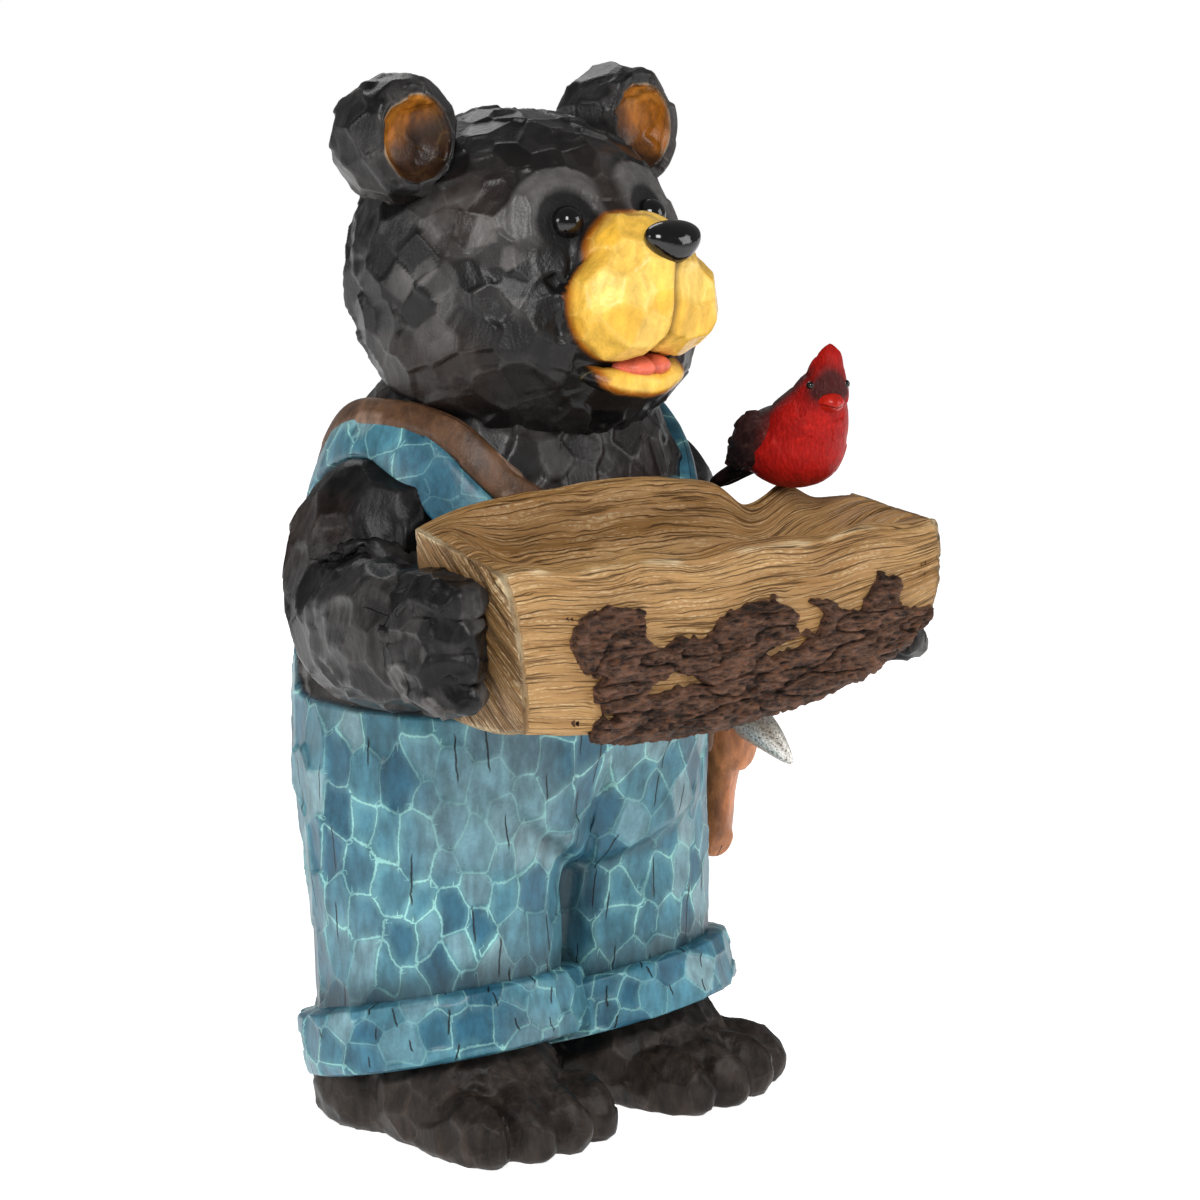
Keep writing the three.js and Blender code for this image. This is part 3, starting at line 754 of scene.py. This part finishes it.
def make_face():
    """Eyes as beads, the nose as an ellipsoid that narrows downwards, a grooved tongue, and the lip as a
    round section carried along a smile."""
    for hand, side in HANDS.items():
        piece(f"bear_eye_{side}", ball(EYE * (hand, 1, 1), EYE_RADIUS), "bear", black_bead, (0, 0, 0))
    nose = np.array([0, -134, 523])
    skin, _ = union(nose, [(nose, (18, 12, 12))], 1.0, 48, 72)
    x, y, z = (skin.points - nose).T
    skin.points = nose + np.stack([x * (1 + 0.03 * z), y, z + 0.12 * y], -1)
    piece("bear_nose", skin, "bear", black_bead, (0, 0, 0))
    tongue = (0, -105, 451)
    skin, _ = union(tongue, [(tongue, (20, 18, 7.5))], 1.0, 40, 64)
    groove = bump(skin.points[:, 0], 2.4)
    skin.swell(-1.4 * groove)
    colour = blend(0.5 * groove, TONGUE, TONGUE_DEEP)
    piece("bear_tongue", skin, "bear", carved_face, colour, 0.3)
    right = np.array(LIP_PATH) * (-1, 1, 1)
    path = np.vstack([right, np.array(LIP_PATH)[-2::-1]])
    skin = loft(path, LIP_SIZES + LIP_SIZES[-2::-1], side=(0, 0, 1), dome=8, rings=96, around=60)
    cuts = Cuts(skin, 11, 47, soft=0.2)
    skin.swell(0.5 * np.clip(cuts.lift, -1, 1))
    aside = np.abs(skin.points[:, 0])
    rows = np.array(LIP_PATH)[::-1]
    below = skin.points[:, 2] - np.interp(aside, rows[:, 0], rows[:, 2])
    colour = blend(0.6 * cuts.tone(48), OCHRE, OCHRE_PALE)
    # Painted shade under the lip: its lower side is painted burnt and then dark going down; towards its ends
    # the lip fades into the fur's black paint.
    colour = blend(np.maximum(ease(-2.5, -6, below), ease(25, 31, aside)), colour, OCHRE_BURNT)
    colour = blend(np.maximum(ease(-5.5, -8.5, below), ease(30, 35, aside)), colour, FUR_DARK)
    piece("bear_lip", skin, "bear", carved_face, colour, 0.3, OCHRE_PALE, 0.15, cuts.edge)


def make_ear(hand):
    """A round ear: a cushion at the back, a thick rim and a shallow dish in front."""
    profile = [
        [0, -32], [20, -30], [31, -20], [35, -4], [34, 10], [29, 19], [24, 20], [19, 13], [12, 7], [0, 5],
    ]
    centre = np.array([84.5 * hand - 3.5, 0, 576 - hand])
    skin = turned(profile, centre, (hand * 0.06, -1, 0.06), rings=76, around=124, wide=0.96, tall=1.03)
    inner = np.repeat(np.linspace(0, 1, skin.shape[0]), skin.shape[1])
    inner = np.append(inner, [0, 1])
    coat = gouge(skin, 14, 9, 51 + hand)
    dish = ease(0.66, 0.7, inner)
    skin.swell((0.9 - 0.6 * dish) * coat.lift - 0.8)
    x, _, z = (skin.points - centre).T
    rim = bump(inner - 0.67, 0.014)
    low = ease(16, -12, z + hand * x)
    orange = blend(0.6 * coat.chips.tone(54), EAR_ORANGE, EAR_LIT)
    orange = blend(0.95 * low, orange, EAR_SHADE)
    fur_colour, strength = fur(skin, coat, 53, 0.2)
    colour = blend(dish, fur_colour, orange)
    colour = blend(0.5 * rim * (1 - low), colour, EAR_RIM)
    strength = np.maximum((1 - dish) * strength, 0.06 * dish)
    line = blend(dish, FUR_LINE, OCHRE)
    piece(f"bear_ear_{HANDS[hand]}", skin, "bear", carved_ear, colour, 0.34, line, strength, coat.edge)


def make_arm(hand, back, drop):
    """The arm is a round section carried from the shoulder round the elbow to the wrist, and the paw a soft
    union of a palm and four fingers laid one above the other."""
    path = [
        [hand * 82, 8, 387], [hand * 102, 6, 357], [hand * 115, 4, 322], [hand * 132, -25, 306],
        [hand * 162, -86 + back, 313 - drop], [hand * 180, -136 + back, 320 - drop],
    ]
    sizes = [[34, 44, 2], [38, 51, 2], [40, 52, 2], [40, 44, 2], [35, 43, 2], [22, 40, 2.2]]
    skin = loft(path, sizes, side=(1, 0, 0.2), dome=7, rings=116, around=124)
    coat = gouge(skin, 18, 11.5, 61 + hand)
    skin.swell(coat.lift - 1.6)
    colour, strength = fur(skin, coat, 63, 0.25)
    piece(f"bear_arm_{HANDS[hand]}", skin, "bear", carved_fur, colour, 0.36, FUR_LINE, strength, coat.edge)
    palm = np.array([hand * 174, -132 + back, 319 - drop])
    rows = [(palm, (26, 36, 40))]
    rows += [(palm + (hand * 3, -18, 26 - 17.5 * k), (17, 24, 12)) for k in range(4)]
    skin, _ = union(palm, rows, 0.28, 104, 136)
    coat = gouge(skin, 14, 9, 66 + hand)
    skin.swell(0.9 * coat.lift - 2.0)
    colour, strength = fur(skin, coat, 68, 0.55)
    piece(f"bear_paw_{HANDS[hand]}", skin, "bear", carved_fur, colour, 0.34, FUR_LINE, strength, coat.edge)


def make_foot(hand, turn, ankle):
    """A soft union of heel, instep, ball and four toes, flat on the floor, turned out about the ankle."""
    rows = [((0, 20, 20), (60, 54, 42)), ((0, -30, 24), (57, 58, 44)), ((0, -62, 12), (56, 46, 30))]
    rows += [((27 * k, -90 + 4 * k * k, 14), (13.5, 31, 23)) for k in (-1.5, -0.5, 0.5, 1.5)]
    skin, _ = union((0, -40, 16), rows, 0.5, 106, 174, floor=0)
    coat = gouge(skin, 13, 8.5, 71 + hand)
    skin.swell((0.8 * coat.lift - 0.8) * ease(1, 6, skin.points[:, 2]))
    skin.points[:, 2] = np.maximum(skin.points[:, 2], 0)
    angle = np.radians(hand * turn)
    x, y, z = skin.points.T
    cosine, sine = np.cos(angle), np.sin(angle)
    skin.points = np.stack([x * cosine - y * sine, x * sine + y * cosine, z], -1)
    skin.points += (*ankle, 0)
    colour, strength = fur(skin, coat, 73, 0.15)
    colour = blend(np.full(len(colour), 0.55), colour, FOOT_BROWN)
    name = f"bear_foot_{HANDS[hand]}"
    piece(name, skin, "bear", carved_fur, colour, 0.45, FOOT_LINE, strength + 0.12, coat.edge)


make_trunk()
make_straps()
make_head()
make_face()
for hand, back, drop, turn, ankle in ((-1, 0, 0, 0, (-66, 0)), (1, 14, 18, 15, (64, 6))):
    make_cuff(hand)
    make_ear(hand)
    make_arm(hand, back, drop)
    make_foot(hand, turn, ankle)


# The log: a split trough that lies along X, its bark left on below the front
LOG_HALF = 167
LOG_TAN = (0.440, 0.255, 0.095)
LOG_BROWN = (0.270, 0.135, 0.040)
LOG_CREAM = (0.850, 0.700, 0.440)
LOG_END = (0.105, 0.050, 0.016)
BARK = (0.215, 0.110, 0.070)
BARK_DEEP = (0.040, 0.022, 0.015)
PERCH = np.array([118, -114, 369])
NOTCH_X = 86


def log_rings(x, sides):
    """Closed section loops, one for each x: under the back half, up the back, over the rims and through the
    trough, down the front and under the front half. sides gives how many points each of the five has. The
    back rim dips at a notch and rises to a knob under the bird."""
    share = (x / (2 * LOG_HALF) + 0.5)[:, None]
    back = -97 - 15 * (2 * share - 1) ** 4
    front = np.full_like(back, -181)
    middle = (back + front) / 2
    knob = 9 * bump(x[:, None] - PERCH[0], 13) - 9 * bump(x[:, None] - NOTCH_X, 14)
    back_top = curve([[378], [386], [388], [388], [380], [364], [361]], share[:, 0]) + knob
    front_top = 358 + 2 * np.cos(7 * share) - 6 * share + 1.5 * np.sin(25 * share)
    under = curve([[271], [264], [259], [259], [264], [274], [296]], share[:, 0])
    hollow = ease(160, 92, np.abs(x))[:, None]
    t = [(np.arange(count) / count)[None] for count in sides]
    flat_y = back + (front - back) * t[2]
    turn = np.pi * np.clip((t[2] - 0.1) / 0.8, 0, 1)
    lip = np.sign(np.cos(turn)) * np.abs(np.cos(turn)) ** 0.6
    rim = np.interp(t[2], [0, 0.1, 0.9, 1], [42, 31, -31, -42])
    deep_y = np.where((turn > 0) & (turn < np.pi), middle + 31 * lip, middle + rim * (back - middle) / 42)
    top_y = (1 - hollow) * flat_y + hollow * deep_y
    top_z = back_top + (front_top - back_top) * (back - top_y) / (back - front)
    top_z = top_z - hollow * (top_z - 326) * np.sin(turn) ** 0.55
    y = [
        middle + (back - middle) * t[0],
        back + 3 * np.sin(np.pi * t[1]),
        top_y,
        front - 6 * np.sin(np.pi * t[3] ** 0.8),
        front + (middle - front) * t[4],
    ]
    z = [
        under - 4 * (1 - t[0] ** 2),
        under + (back_top - under) * t[1],
        top_z,
        front_top + (under - front_top) * t[3],
        under - 4 * (1 - (1 - t[4]) ** 2),
    ]
    y, z = np.hstack(y), np.hstack(z)
    draw_in = np.where(x < 0, 0.0011, 0.0004)[:, None]
    loop = np.stack([x[:, None] * (1 - draw_in * (358 - z)), y, z], -1)
    for _ in range(4):
        loop = (np.roll(loop, 1, 1) + 2 * loop + np.roll(loop, -1, 1)) / 4
    return loop


def make_log():
    """The section loops along X, closed by their own loops drawn in towards the middle of each end. Grooves
    are noise drawn out along the grain, which runs along the log, and aslant on its ends."""
    sides = (26, 66, 104, 66, 26)
    cap = 22
    body = log_rings(np.linspace(-LOG_HALF, LOG_HALF, 184), sides)
    inset = np.linspace(0.02, 0.985, cap)[:, None, None]
    low, high = body[0].mean(0), body[-1].mean(0)
    bulge = np.array([2.0, 0, 0]) * (1 - inset**2)
    grid = np.concatenate([
        low + (body[0] - low) * inset - bulge,
        body,
        (high + (body[-1] - high) * inset + bulge)[::-1],
    ])
    for _ in range(2):
        grid[1:-1] = (grid[:-2] + 2 * grid[1:-1] + grid[2:]) / 4
    skin = Skin(grid)
    around = np.linalg.norm(np.roll(body, -1, 1) - body, axis=2).mean(0)
    across = np.tile(np.concatenate([[0], around.cumsum()[:-1]]), len(grid))
    across = np.append(across, [0, 0])
    ring = np.append(np.repeat(np.arange(len(grid)), body.shape[1]), [0, len(grid) - 1])
    column = np.append(np.tile(np.arange(body.shape[1]), len(grid)), [0, 0])
    x, y, z = skin.points.T
    from_end = np.minimum(ring, len(grid) - 1 - ring)
    end = ease(cap + 1.5, cap - 0.5, from_end)
    along = (1 - end) * x + end * (0.66 * y + 0.75 * z)
    across = (1 - end) * across + end * (0.75 * y - 0.66 * z + 400)
    grain = np.stack([along, across, 40 * np.round(end)], -1)
    waver = across + 5 * noise(grain / (60, 22, 40), 1, 81) + 2 * noise(grain / (20, 9, 40), 1, 82)
    strand = noise(np.stack([along / 70, waver / 4.4, waver / 90], -1), 1, 83)
    thread = noise(np.stack([along / 40, waver / 2.8, waver / 70], -1), 1, 84)
    knock = noise(skin.points, 26, 85)
    skin.swell(1.2 * knock - 1.7 * ease(0.05, 0.6, strand) - 0.9 * ease(0.1, 0.7, thread))
    start = np.cumsum((0,) + sides)
    from_back, from_front = np.abs(column - start[2]), np.abs(column - start[3])
    top = (column >= start[2]) & (column < start[3])
    near_rim = np.minimum(1.3 * from_front, 1.3 * from_back + 2)
    near_rim = np.minimum(near_rim, 1.6 * np.abs(from_end - cap))
    cream = bump(near_rim, 3.6) * (0.55 + 0.45 * noise(skin.points, 14, 86))
    groove = np.clip(ease(0.0, 0.6, strand) + 0.6 * ease(0.1, 0.7, thread), 0, 1)
    colour = blend(0.5 + 0.5 * noise(grain / (80, 16, 40), 1, 87), LOG_TAN, LOG_BROWN)
    # Painted shade in the hollow: the inside of the trough, away from both rims, is painted a darker brown.
    trough = top * ease(20, 60, from_back) * ease(0, 40, from_front)
    colour = blend(0.35 * trough, colour, LOG_BROWN)
    colour = blend(0.45 * groove * (1 - end), colour, LOG_BROWN)
    colour = blend(0.95 * end * (0.6 + 0.4 * groove), colour, LOG_END)
    colour = blend(0.6 * ease(0.2, 0.9, cream), colour, LOG_CREAM)
    wood = split_wood("split_log_wood")
    piece("log_body", skin, "log_basin", wood, colour, 0.5, LOG_CREAM, 0.3 + 0.6 * cream, grain=grain)


# The bark's outline on the front of the log, as x and height: its upper edge from left to right, its lower
# edge back again, and two gaps in it where bare wood shows
BARK_EDGE = [
    (-123, 316), (-121, 328), (-110, 333), (-89, 333), (-73, 330), (-70, 318), (-63, 306), (-52, 304),
    (-45, 312), (-22, 309), (-11, 317), (14, 325), (29, 324), (43, 318), (48, 302), (62, 301), (71, 310),
    (59, 319), (71, 318), (82, 311), (97, 309), (105, 318), (113, 328), (126, 324), (127, 311), (139, 306),
    (158, 304), (158, 297), (142, 288), (140, 279), (115, 262), (82, 252), (41, 246), (-45, 246), (-72, 250),
    (-102, 262), (-100, 270), (-89, 274), (-102, 282), (-104, 291), (-100, 296), (-113, 302),
]
BARK_GAPS = [
    [(-72, 282), (-60, 290), (-45, 293), (-30, 288), (-17, 281), (-40, 283), (-58, 279)],
    [(18, 295), (44, 302), (64, 299), (48, 294), (26, 291)],
]


def inside(outline, x, z):
    """Distance in from a closed outline, negative outside it: the least distance to its edges, signed by the
    even-odd rule."""
    start = np.array(outline, float)
    end = np.roll(start, -1, 0)
    place = np.stack([x, z], -1)
    least = np.full(len(x), np.inf)
    odd = np.zeros(len(x), bool)
    for a, b in zip(start, end):
        share = np.clip((place - a) @ (b - a) / ((b - a) @ (b - a)), 0, 1)
        least = np.minimum(least, np.linalg.norm(place - a - share[:, None] * (b - a), axis=1))
        crossing = (a[1] > z) != (b[1] > z)
        odd ^= crossing & (x < a[0] + (z - a[1]) * (b[0] - a[0]) / (b[1] - a[1] + 1e-9))
    return np.where(odd, least, -least)


def make_bark():
    """A slab that follows the log's front and underside; it stands proud inside the outline and sinks into
    the wood outside it, so the outline shows as its ragged edge. Flakes are noise at three sizes, drawn out
    along the log, and cracks lie where a slow noise crosses zero."""
    x = np.linspace(-136, 162, 250)
    sides = (40, 100, 150, 150, 56)
    loop = log_rings(x, sides)
    first, last = sum(sides[:3]) + 28, sum(sides) - 22
    shell = Skin(loop)
    out = shell.normals()[:-2].reshape(loop.shape)
    face, way = loop[:, first:last], out[:, first:last]
    rows = face.shape[1]
    under = 0.8 * np.maximum(np.arange(rows) - (sum(sides[:4]) - first), 0)
    flat_x, flat_z = face[..., 0].ravel(), (face[..., 2] - under).ravel()
    place = np.stack([flat_x, face[..., 1].ravel(), flat_z], -1)
    ragged = 2.6 * noise(place, 7, 91) + 1.8 * noise(place, 3.2, 92)
    depth = inside(BARK_EDGE, flat_x, flat_z)
    for gap in BARK_GAPS:
        depth = np.minimum(depth, -inside(gap, flat_x, flat_z))
    depth = depth + ragged + 1.5
    plates = noise(place / (15, 8, 6), 1, 93)
    scales = 1 - 2 * np.abs(noise(place / (7, 4, 2.6), 1, 94))
    flakes = noise(place / (4, 2.4, 1.5), 1, 96)
    crack = bump(noise(place / (30, 18, 8), 1, 95), 0.08)
    relief = 1.3 * plates + 1.3 * scales + 1.2 * flakes
    lift = -8 + 12 * ease(-1.6, 1.8, depth) + ease(0, 4, depth) * (relief + 1.0 - 2.4 * crack)
    proud = face + lift.reshape(len(x), rows)[..., None] * way
    sunk = (face - 11 * way)[:, ::-4]
    skin = Skin(np.concatenate([proud, sunk], 1))
    full = np.zeros((len(x), skin.shape[1]))
    full[:, :rows] = (0.5 + 0.25 * relief - 0.7 * crack).reshape(len(x), rows)
    tone = np.append(full.ravel(), [0.5, 0.5])
    colour = blend(np.clip(tone, 0, 1), BARK_DEEP, BARK)
    piece("log_bark", skin, "log_basin", rough_bark("rough_log_bark"), colour, 0.7)


make_log()
make_bark()


# The cardinal, measured from its perch on the log's back rim; it looks a little to its right
RED = (0.400, 0.010, 0.007)
RED_DEEP = (0.200, 0.005, 0.005)
RED_LIT = (0.560, 0.020, 0.014)
BEAK_RED = (0.430, 0.012, 0.006)
BEAK_DEEP = (0.100, 0.008, 0.006)
WING_BROWN = (0.022, 0.009, 0.009)
WING_LIT = (0.050, 0.022, 0.020)
WING_EDGE = (0.100, 0.050, 0.045)
TAIL_DARK = (0.012, 0.006, 0.006)
BIRD_HEAD = np.array([0, -21, 60])
BIRD_LOOK = np.array([-0.38, -0.92, 0.0])
BIRD = [
    ((0, 3, 23), (30, 32, 24)), ((0, -8, 38), (25.5, 25.5, 22)), ((-2, 12, 30), (20, 24, 19)),
    ((0, -16, 51), (18, 18, 15)), (BIRD_HEAD, (15.5, 15.5, 13)), ((0.5, -23, 69), (11.5, 11.5, 13)),
    ((1, -25, 76), (7.5, 7.5, 11)), ((0, 30, 16), (15, 20, 11)),
]


def make_cardinal():
    """A soft union of ellipsoids for the body, with a round section carried along each wing, the tail and
    the beak. Dark paint lies behind a slanting plane from crest to tail, and in smudges round the beak."""
    feathers = plumage("painted_feathers")
    rows = [(np.array(centre) + PERCH, half) for centre, half in BIRD]
    skin, _ = union(PERCH + (0, -12, 44), rows, 0.3, 136, 176)
    ruffle = Cuts(skin, 5, 101, stretch=(1, 1, 0.5))
    skin.swell(0.35 * ruffle.lift - 1.4)
    y, z = (skin.points - PERCH).T[1:]
    behind = 0.7 * (y + 25) + 0.71 * (z - 88)
    dark = ease(-17, -7, behind) * ease(80, 66, z)
    beside = np.array([-BIRD_LOOK[1], BIRD_LOOK[0], 0])
    smudges = ((14, 0, 8, 8), (12, 8, 1, 7), (12, -8, 1, 7))
    places = [PERCH + BIRD_HEAD + a * BIRD_LOOK + b * beside + (0, 0, c) for a, b, c, _ in smudges]
    mask = sum(bump(np.linalg.norm(skin.points - p, axis=1), s[3]) for p, s in zip(places, smudges))
    mask = np.clip(1.2 * mask, 0, 1)
    colour = blend(0.4 * ruffle.tone(102), RED, RED_DEEP)
    colour = blend(np.maximum(0.95 * dark, 0.9 * mask), colour, WING_BROWN)
    line = blend(np.maximum(dark, mask), RED_LIT, WING_EDGE)
    piece("cardinal_body", skin, "cardinal", feathers, colour, 0.36, line, 0.4)
    for hand, side in HANDS.items():
        path = PERCH + np.array([[hand * 17, -6, 42], [hand * 24, 12, 29], [hand * 16, 42, 12]])
        skin = loft(path, [[5, 11, 2], [6, 16, 2], [4, 6, 2]], dome=2.4, rings=76, around=64)
        scallop = Cuts(skin, 5.5, 104 + hand)
        skin.swell(0.5 * scallop.lift - 0.5 * bump(scallop.ridge, 0.8))
        tone = 0.5 * scallop.tone(106) + 0.6 * bump(scallop.ridge, 0.8)
        colour = blend(np.clip(tone, 0, 1), WING_BROWN, WING_LIT)
        colour = blend(0.85 * ease(8, -10, (skin.points - PERCH)[:, 1]), colour, RED_DEEP)
        piece(f"cardinal_wing_{side}", skin, "cardinal", feathers, colour, 0.38, WING_EDGE, 0.4)
        eye = PERCH + BIRD_HEAD + 8 * BIRD_LOOK + hand * 11 * beside + (0, 0, 4)
        piece(f"cardinal_eye_{side}", ball(eye, 2.5), "cardinal", black_bead, (0, 0, 0))
    path = PERCH + np.array([[0, 20, 20], [0, 45, 7], [0, 70, -6]])
    skin = loft(path, [[11, 7, 2.4], [9, 5, 2.6], [7, 3.5, 3]], dome=6, rings=56, around=60)
    quill = np.cos((skin.points - PERCH)[:, 0] * 1.6)
    skin.swell(0.5 * quill)
    colour = blend(0.5 + 0.5 * quill, TAIL_DARK, WING_BROWN)
    piece("cardinal_tail", skin, "cardinal", feathers, colour, 0.35, WING_EDGE, 0.25)
    reach = np.array([[9], [16], [21]])
    path = PERCH + BIRD_HEAD + reach * BIRD_LOOK - np.array([[0, 0, 5], [0, 0, 6], [0, 0, 9]])
    skin = loft(path, [[9, 6.5, 2], [7, 5, 2], [2, 2, 2]], dome=4, rings=44, around=52)
    local = skin.points - PERCH - BIRD_HEAD
    forward = local @ BIRD_LOOK
    gape = bump(local[:, 2] + 6.5 + 0.012 * (forward - 9) ** 2, 0.9) * ease(10, 16, forward)
    skin.swell(-0.9 * gape)
    piece("cardinal_beak", skin, "cardinal", carved_face, blend(0.7 * gape, BEAK_RED, BEAK_DEEP), 0.28)


# The axe that hangs at the belt, its head forward
AXE = np.array([149, -18, 0])
AXE_HANDLE = (0.360, 0.125, 0.045)
AXE_GLOW = (0.520, 0.215, 0.085)
AXE_STEEL = (0.66, 0.63, 0.57)
# Bright silver for the worn cutting edge and for the painted highlight along the bevel's ridge
AXE_WEAR_AND_HIGHLIGHT = (0.95, 0.93, 0.88)


def make_axe():
    """A round section carried up the handle, which swells at its end and its neck, and another carried along
    the head, which narrows towards its edge; with the belt's leather tab beside them."""
    path = AXE + np.array([[0, 8, 127], [0, 4, 146], [0, 0, 170], [0, -5, 200], [0, -4, 236]])
    sizes = [[9, 9, 2], [10, 11, 2], [9, 9.5, 2], [17, 18, 2], [13, 14, 2]]
    skin = loft(path, sizes, dome=10, rings=64, around=60)
    cuts = Cuts(skin, 14, 111, stretch=(1, 1, 0.5))
    skin.swell(0.7 * cuts.lift)
    colour = blend(0.7 * cuts.tone(112), AXE_HANDLE, AXE_GLOW)
    piece("axe_handle", skin, "axe", worn_leather, colour, 0.4, AXE_GLOW, 0.3, cuts.edge)
    path = AXE + np.array([[0, 22, 221], [0, 8, 220], [1, -16, 217], [2, -36, 209], [7, -56, 192]])
    sizes = [[13, 12, 2.6], [13, 12, 2.6], [12, 12, 2.4], [10, 10, 2.2], [3, 4, 2]]
    skin = loft(path, sizes, dome=10, rings=64, around=64)
    y, z = (skin.points - AXE).T[1:]
    # Painted highlight: the bright strip across the blade along the bevel's ridge; the bright cutting edge is
    # worn steel.
    worn = bump(z - 208 - 0.55 * (y + 36), 3.5) * ease(-4, -20, y)
    worn = np.maximum(worn, ease(-44, -54, y))
    steel = hammered_steel("silvered_axe_steel")
    piece("axe_head", skin, "axe", steel, AXE_STEEL, 0.34, AXE_WEAR_AND_HIGHLIGHT, worn)
    path = [[114, -44, 252], [117, -42, 226], [117, -40, 200]]
    skin = loft(path, [[4, 9, 3], [4, 8, 3], [3, 6, 3]], side=(0.8, -0.6, 0), dome=14, rings=40, around=48)
    across = (skin.points - (117, -42, 0)) @ (0.6, 0.8, 0)
    margin = np.abs(np.abs(across) - 7)
    edge = np.stack([margin, margin, 0 * margin], -1)
    piece("bear_belt_tab", skin, "bear", worn_leather, LEATHER, 0.45, LEATHER_PALE, 0.7, edge)


make_cardinal()
make_axe()


# The photograph's view: where it looks, from which side, how far away, and its lens and film width
VIEW_TARGET = Vector((72.8 * MM, 7.2 * MM + AXIS_Y, 291.5 * MM))
VIEW_AZIMUTH = np.radians(-42)
VIEW_LIFT = np.radians(10.5)
VIEW_AWAY = 2700 * MM
VIEW_LENS = 135
VIEW_FILM = 36
# Soft lamps: name, place in metres, width in metres and power in watts
LAMPS = (
    ("key", (-1.5, -1.7, 2.0), 1.0, 52),
    ("fill", (1.6, -1.9, 1.2), 1.2, 20),
    ("back", (0.9, 1.7, 1.8), 1.0, 8),
    ("side", (-2.0, 0.6, 1.0), 0.7, 11),
)
LAMP_TARGET = Vector((0, 0, 0.32))
WORLD_LIGHT = 0.2
FLOOR_GLOW = 0.82
FLOOR_HALF = 60


def make_stage():
    """A wide pale floor, four soft lamps and the camera at the photograph's angle."""
    level = np.cos(VIEW_LIFT)
    way = Vector((np.sin(VIEW_AZIMUTH) * level, -np.cos(VIEW_AZIMUTH) * level, np.sin(VIEW_LIFT)))
    camera = bpy.data.objects.new("camera", bpy.data.cameras.new("camera"))
    camera.data.lens = VIEW_LENS
    camera.data.sensor_width = VIEW_FILM
    camera.data.clip_start = 0.05
    camera.location = VIEW_TARGET + VIEW_AWAY * way
    camera.rotation_euler = way.to_track_quat("Z", "Y").to_euler()
    bpy.context.scene.collection.objects.link(camera)
    bpy.context.scene.camera = camera
    mesh = bpy.data.meshes.new("floor")
    corners = [(-1, -1), (1, -1), (1, 1), (-1, 1)]
    mesh.from_pydata([(FLOOR_HALF * a, FLOOR_HALF * b, 0) for a, b in corners], [], [(0, 1, 2, 3)])
    floor = bpy.data.objects.new("floor", mesh)
    bpy.context.scene.collection.objects.link(floor)
    pale = Finish("pale_floor")
    dust = pale.grain(8)
    colour = pale.mix(dust, (0.86, 0.86, 0.86, 1), (0.9, 0.9, 0.9, 1))
    glow = {"Emission_Color": (1, 1, 1, 1), "Emission_Strength": FLOOR_GLOW}
    shader = {"Roughness": 0.8, "Specular_IOR_Level": 0.1, **glow}
    mesh.materials.append(pale.close(dust, 0.0001, Base_Color=colour, **shader))
    for name, place, size, power in LAMPS:
        lamp = bpy.data.lights.new(name, "AREA")
        lamp.size = size
        lamp.energy = power
        holder = bpy.data.objects.new(name, lamp)
        holder.location = place
        holder.rotation_euler = (Vector(place) - LAMP_TARGET).to_track_quat("Z", "Y").to_euler()
        bpy.context.scene.collection.objects.link(holder)
    world = bpy.data.worlds.new("studio")
    world.use_nodes = True
    sky = world.node_tree.nodes["Background"].inputs
    sky["Color"].default_value = (1, 1, 1, 1)
    sky["Strength"].default_value = WORLD_LIGHT
    bpy.context.scene.world = world
    bpy.context.scene.view_settings.view_transform = "Standard"


make_stage()
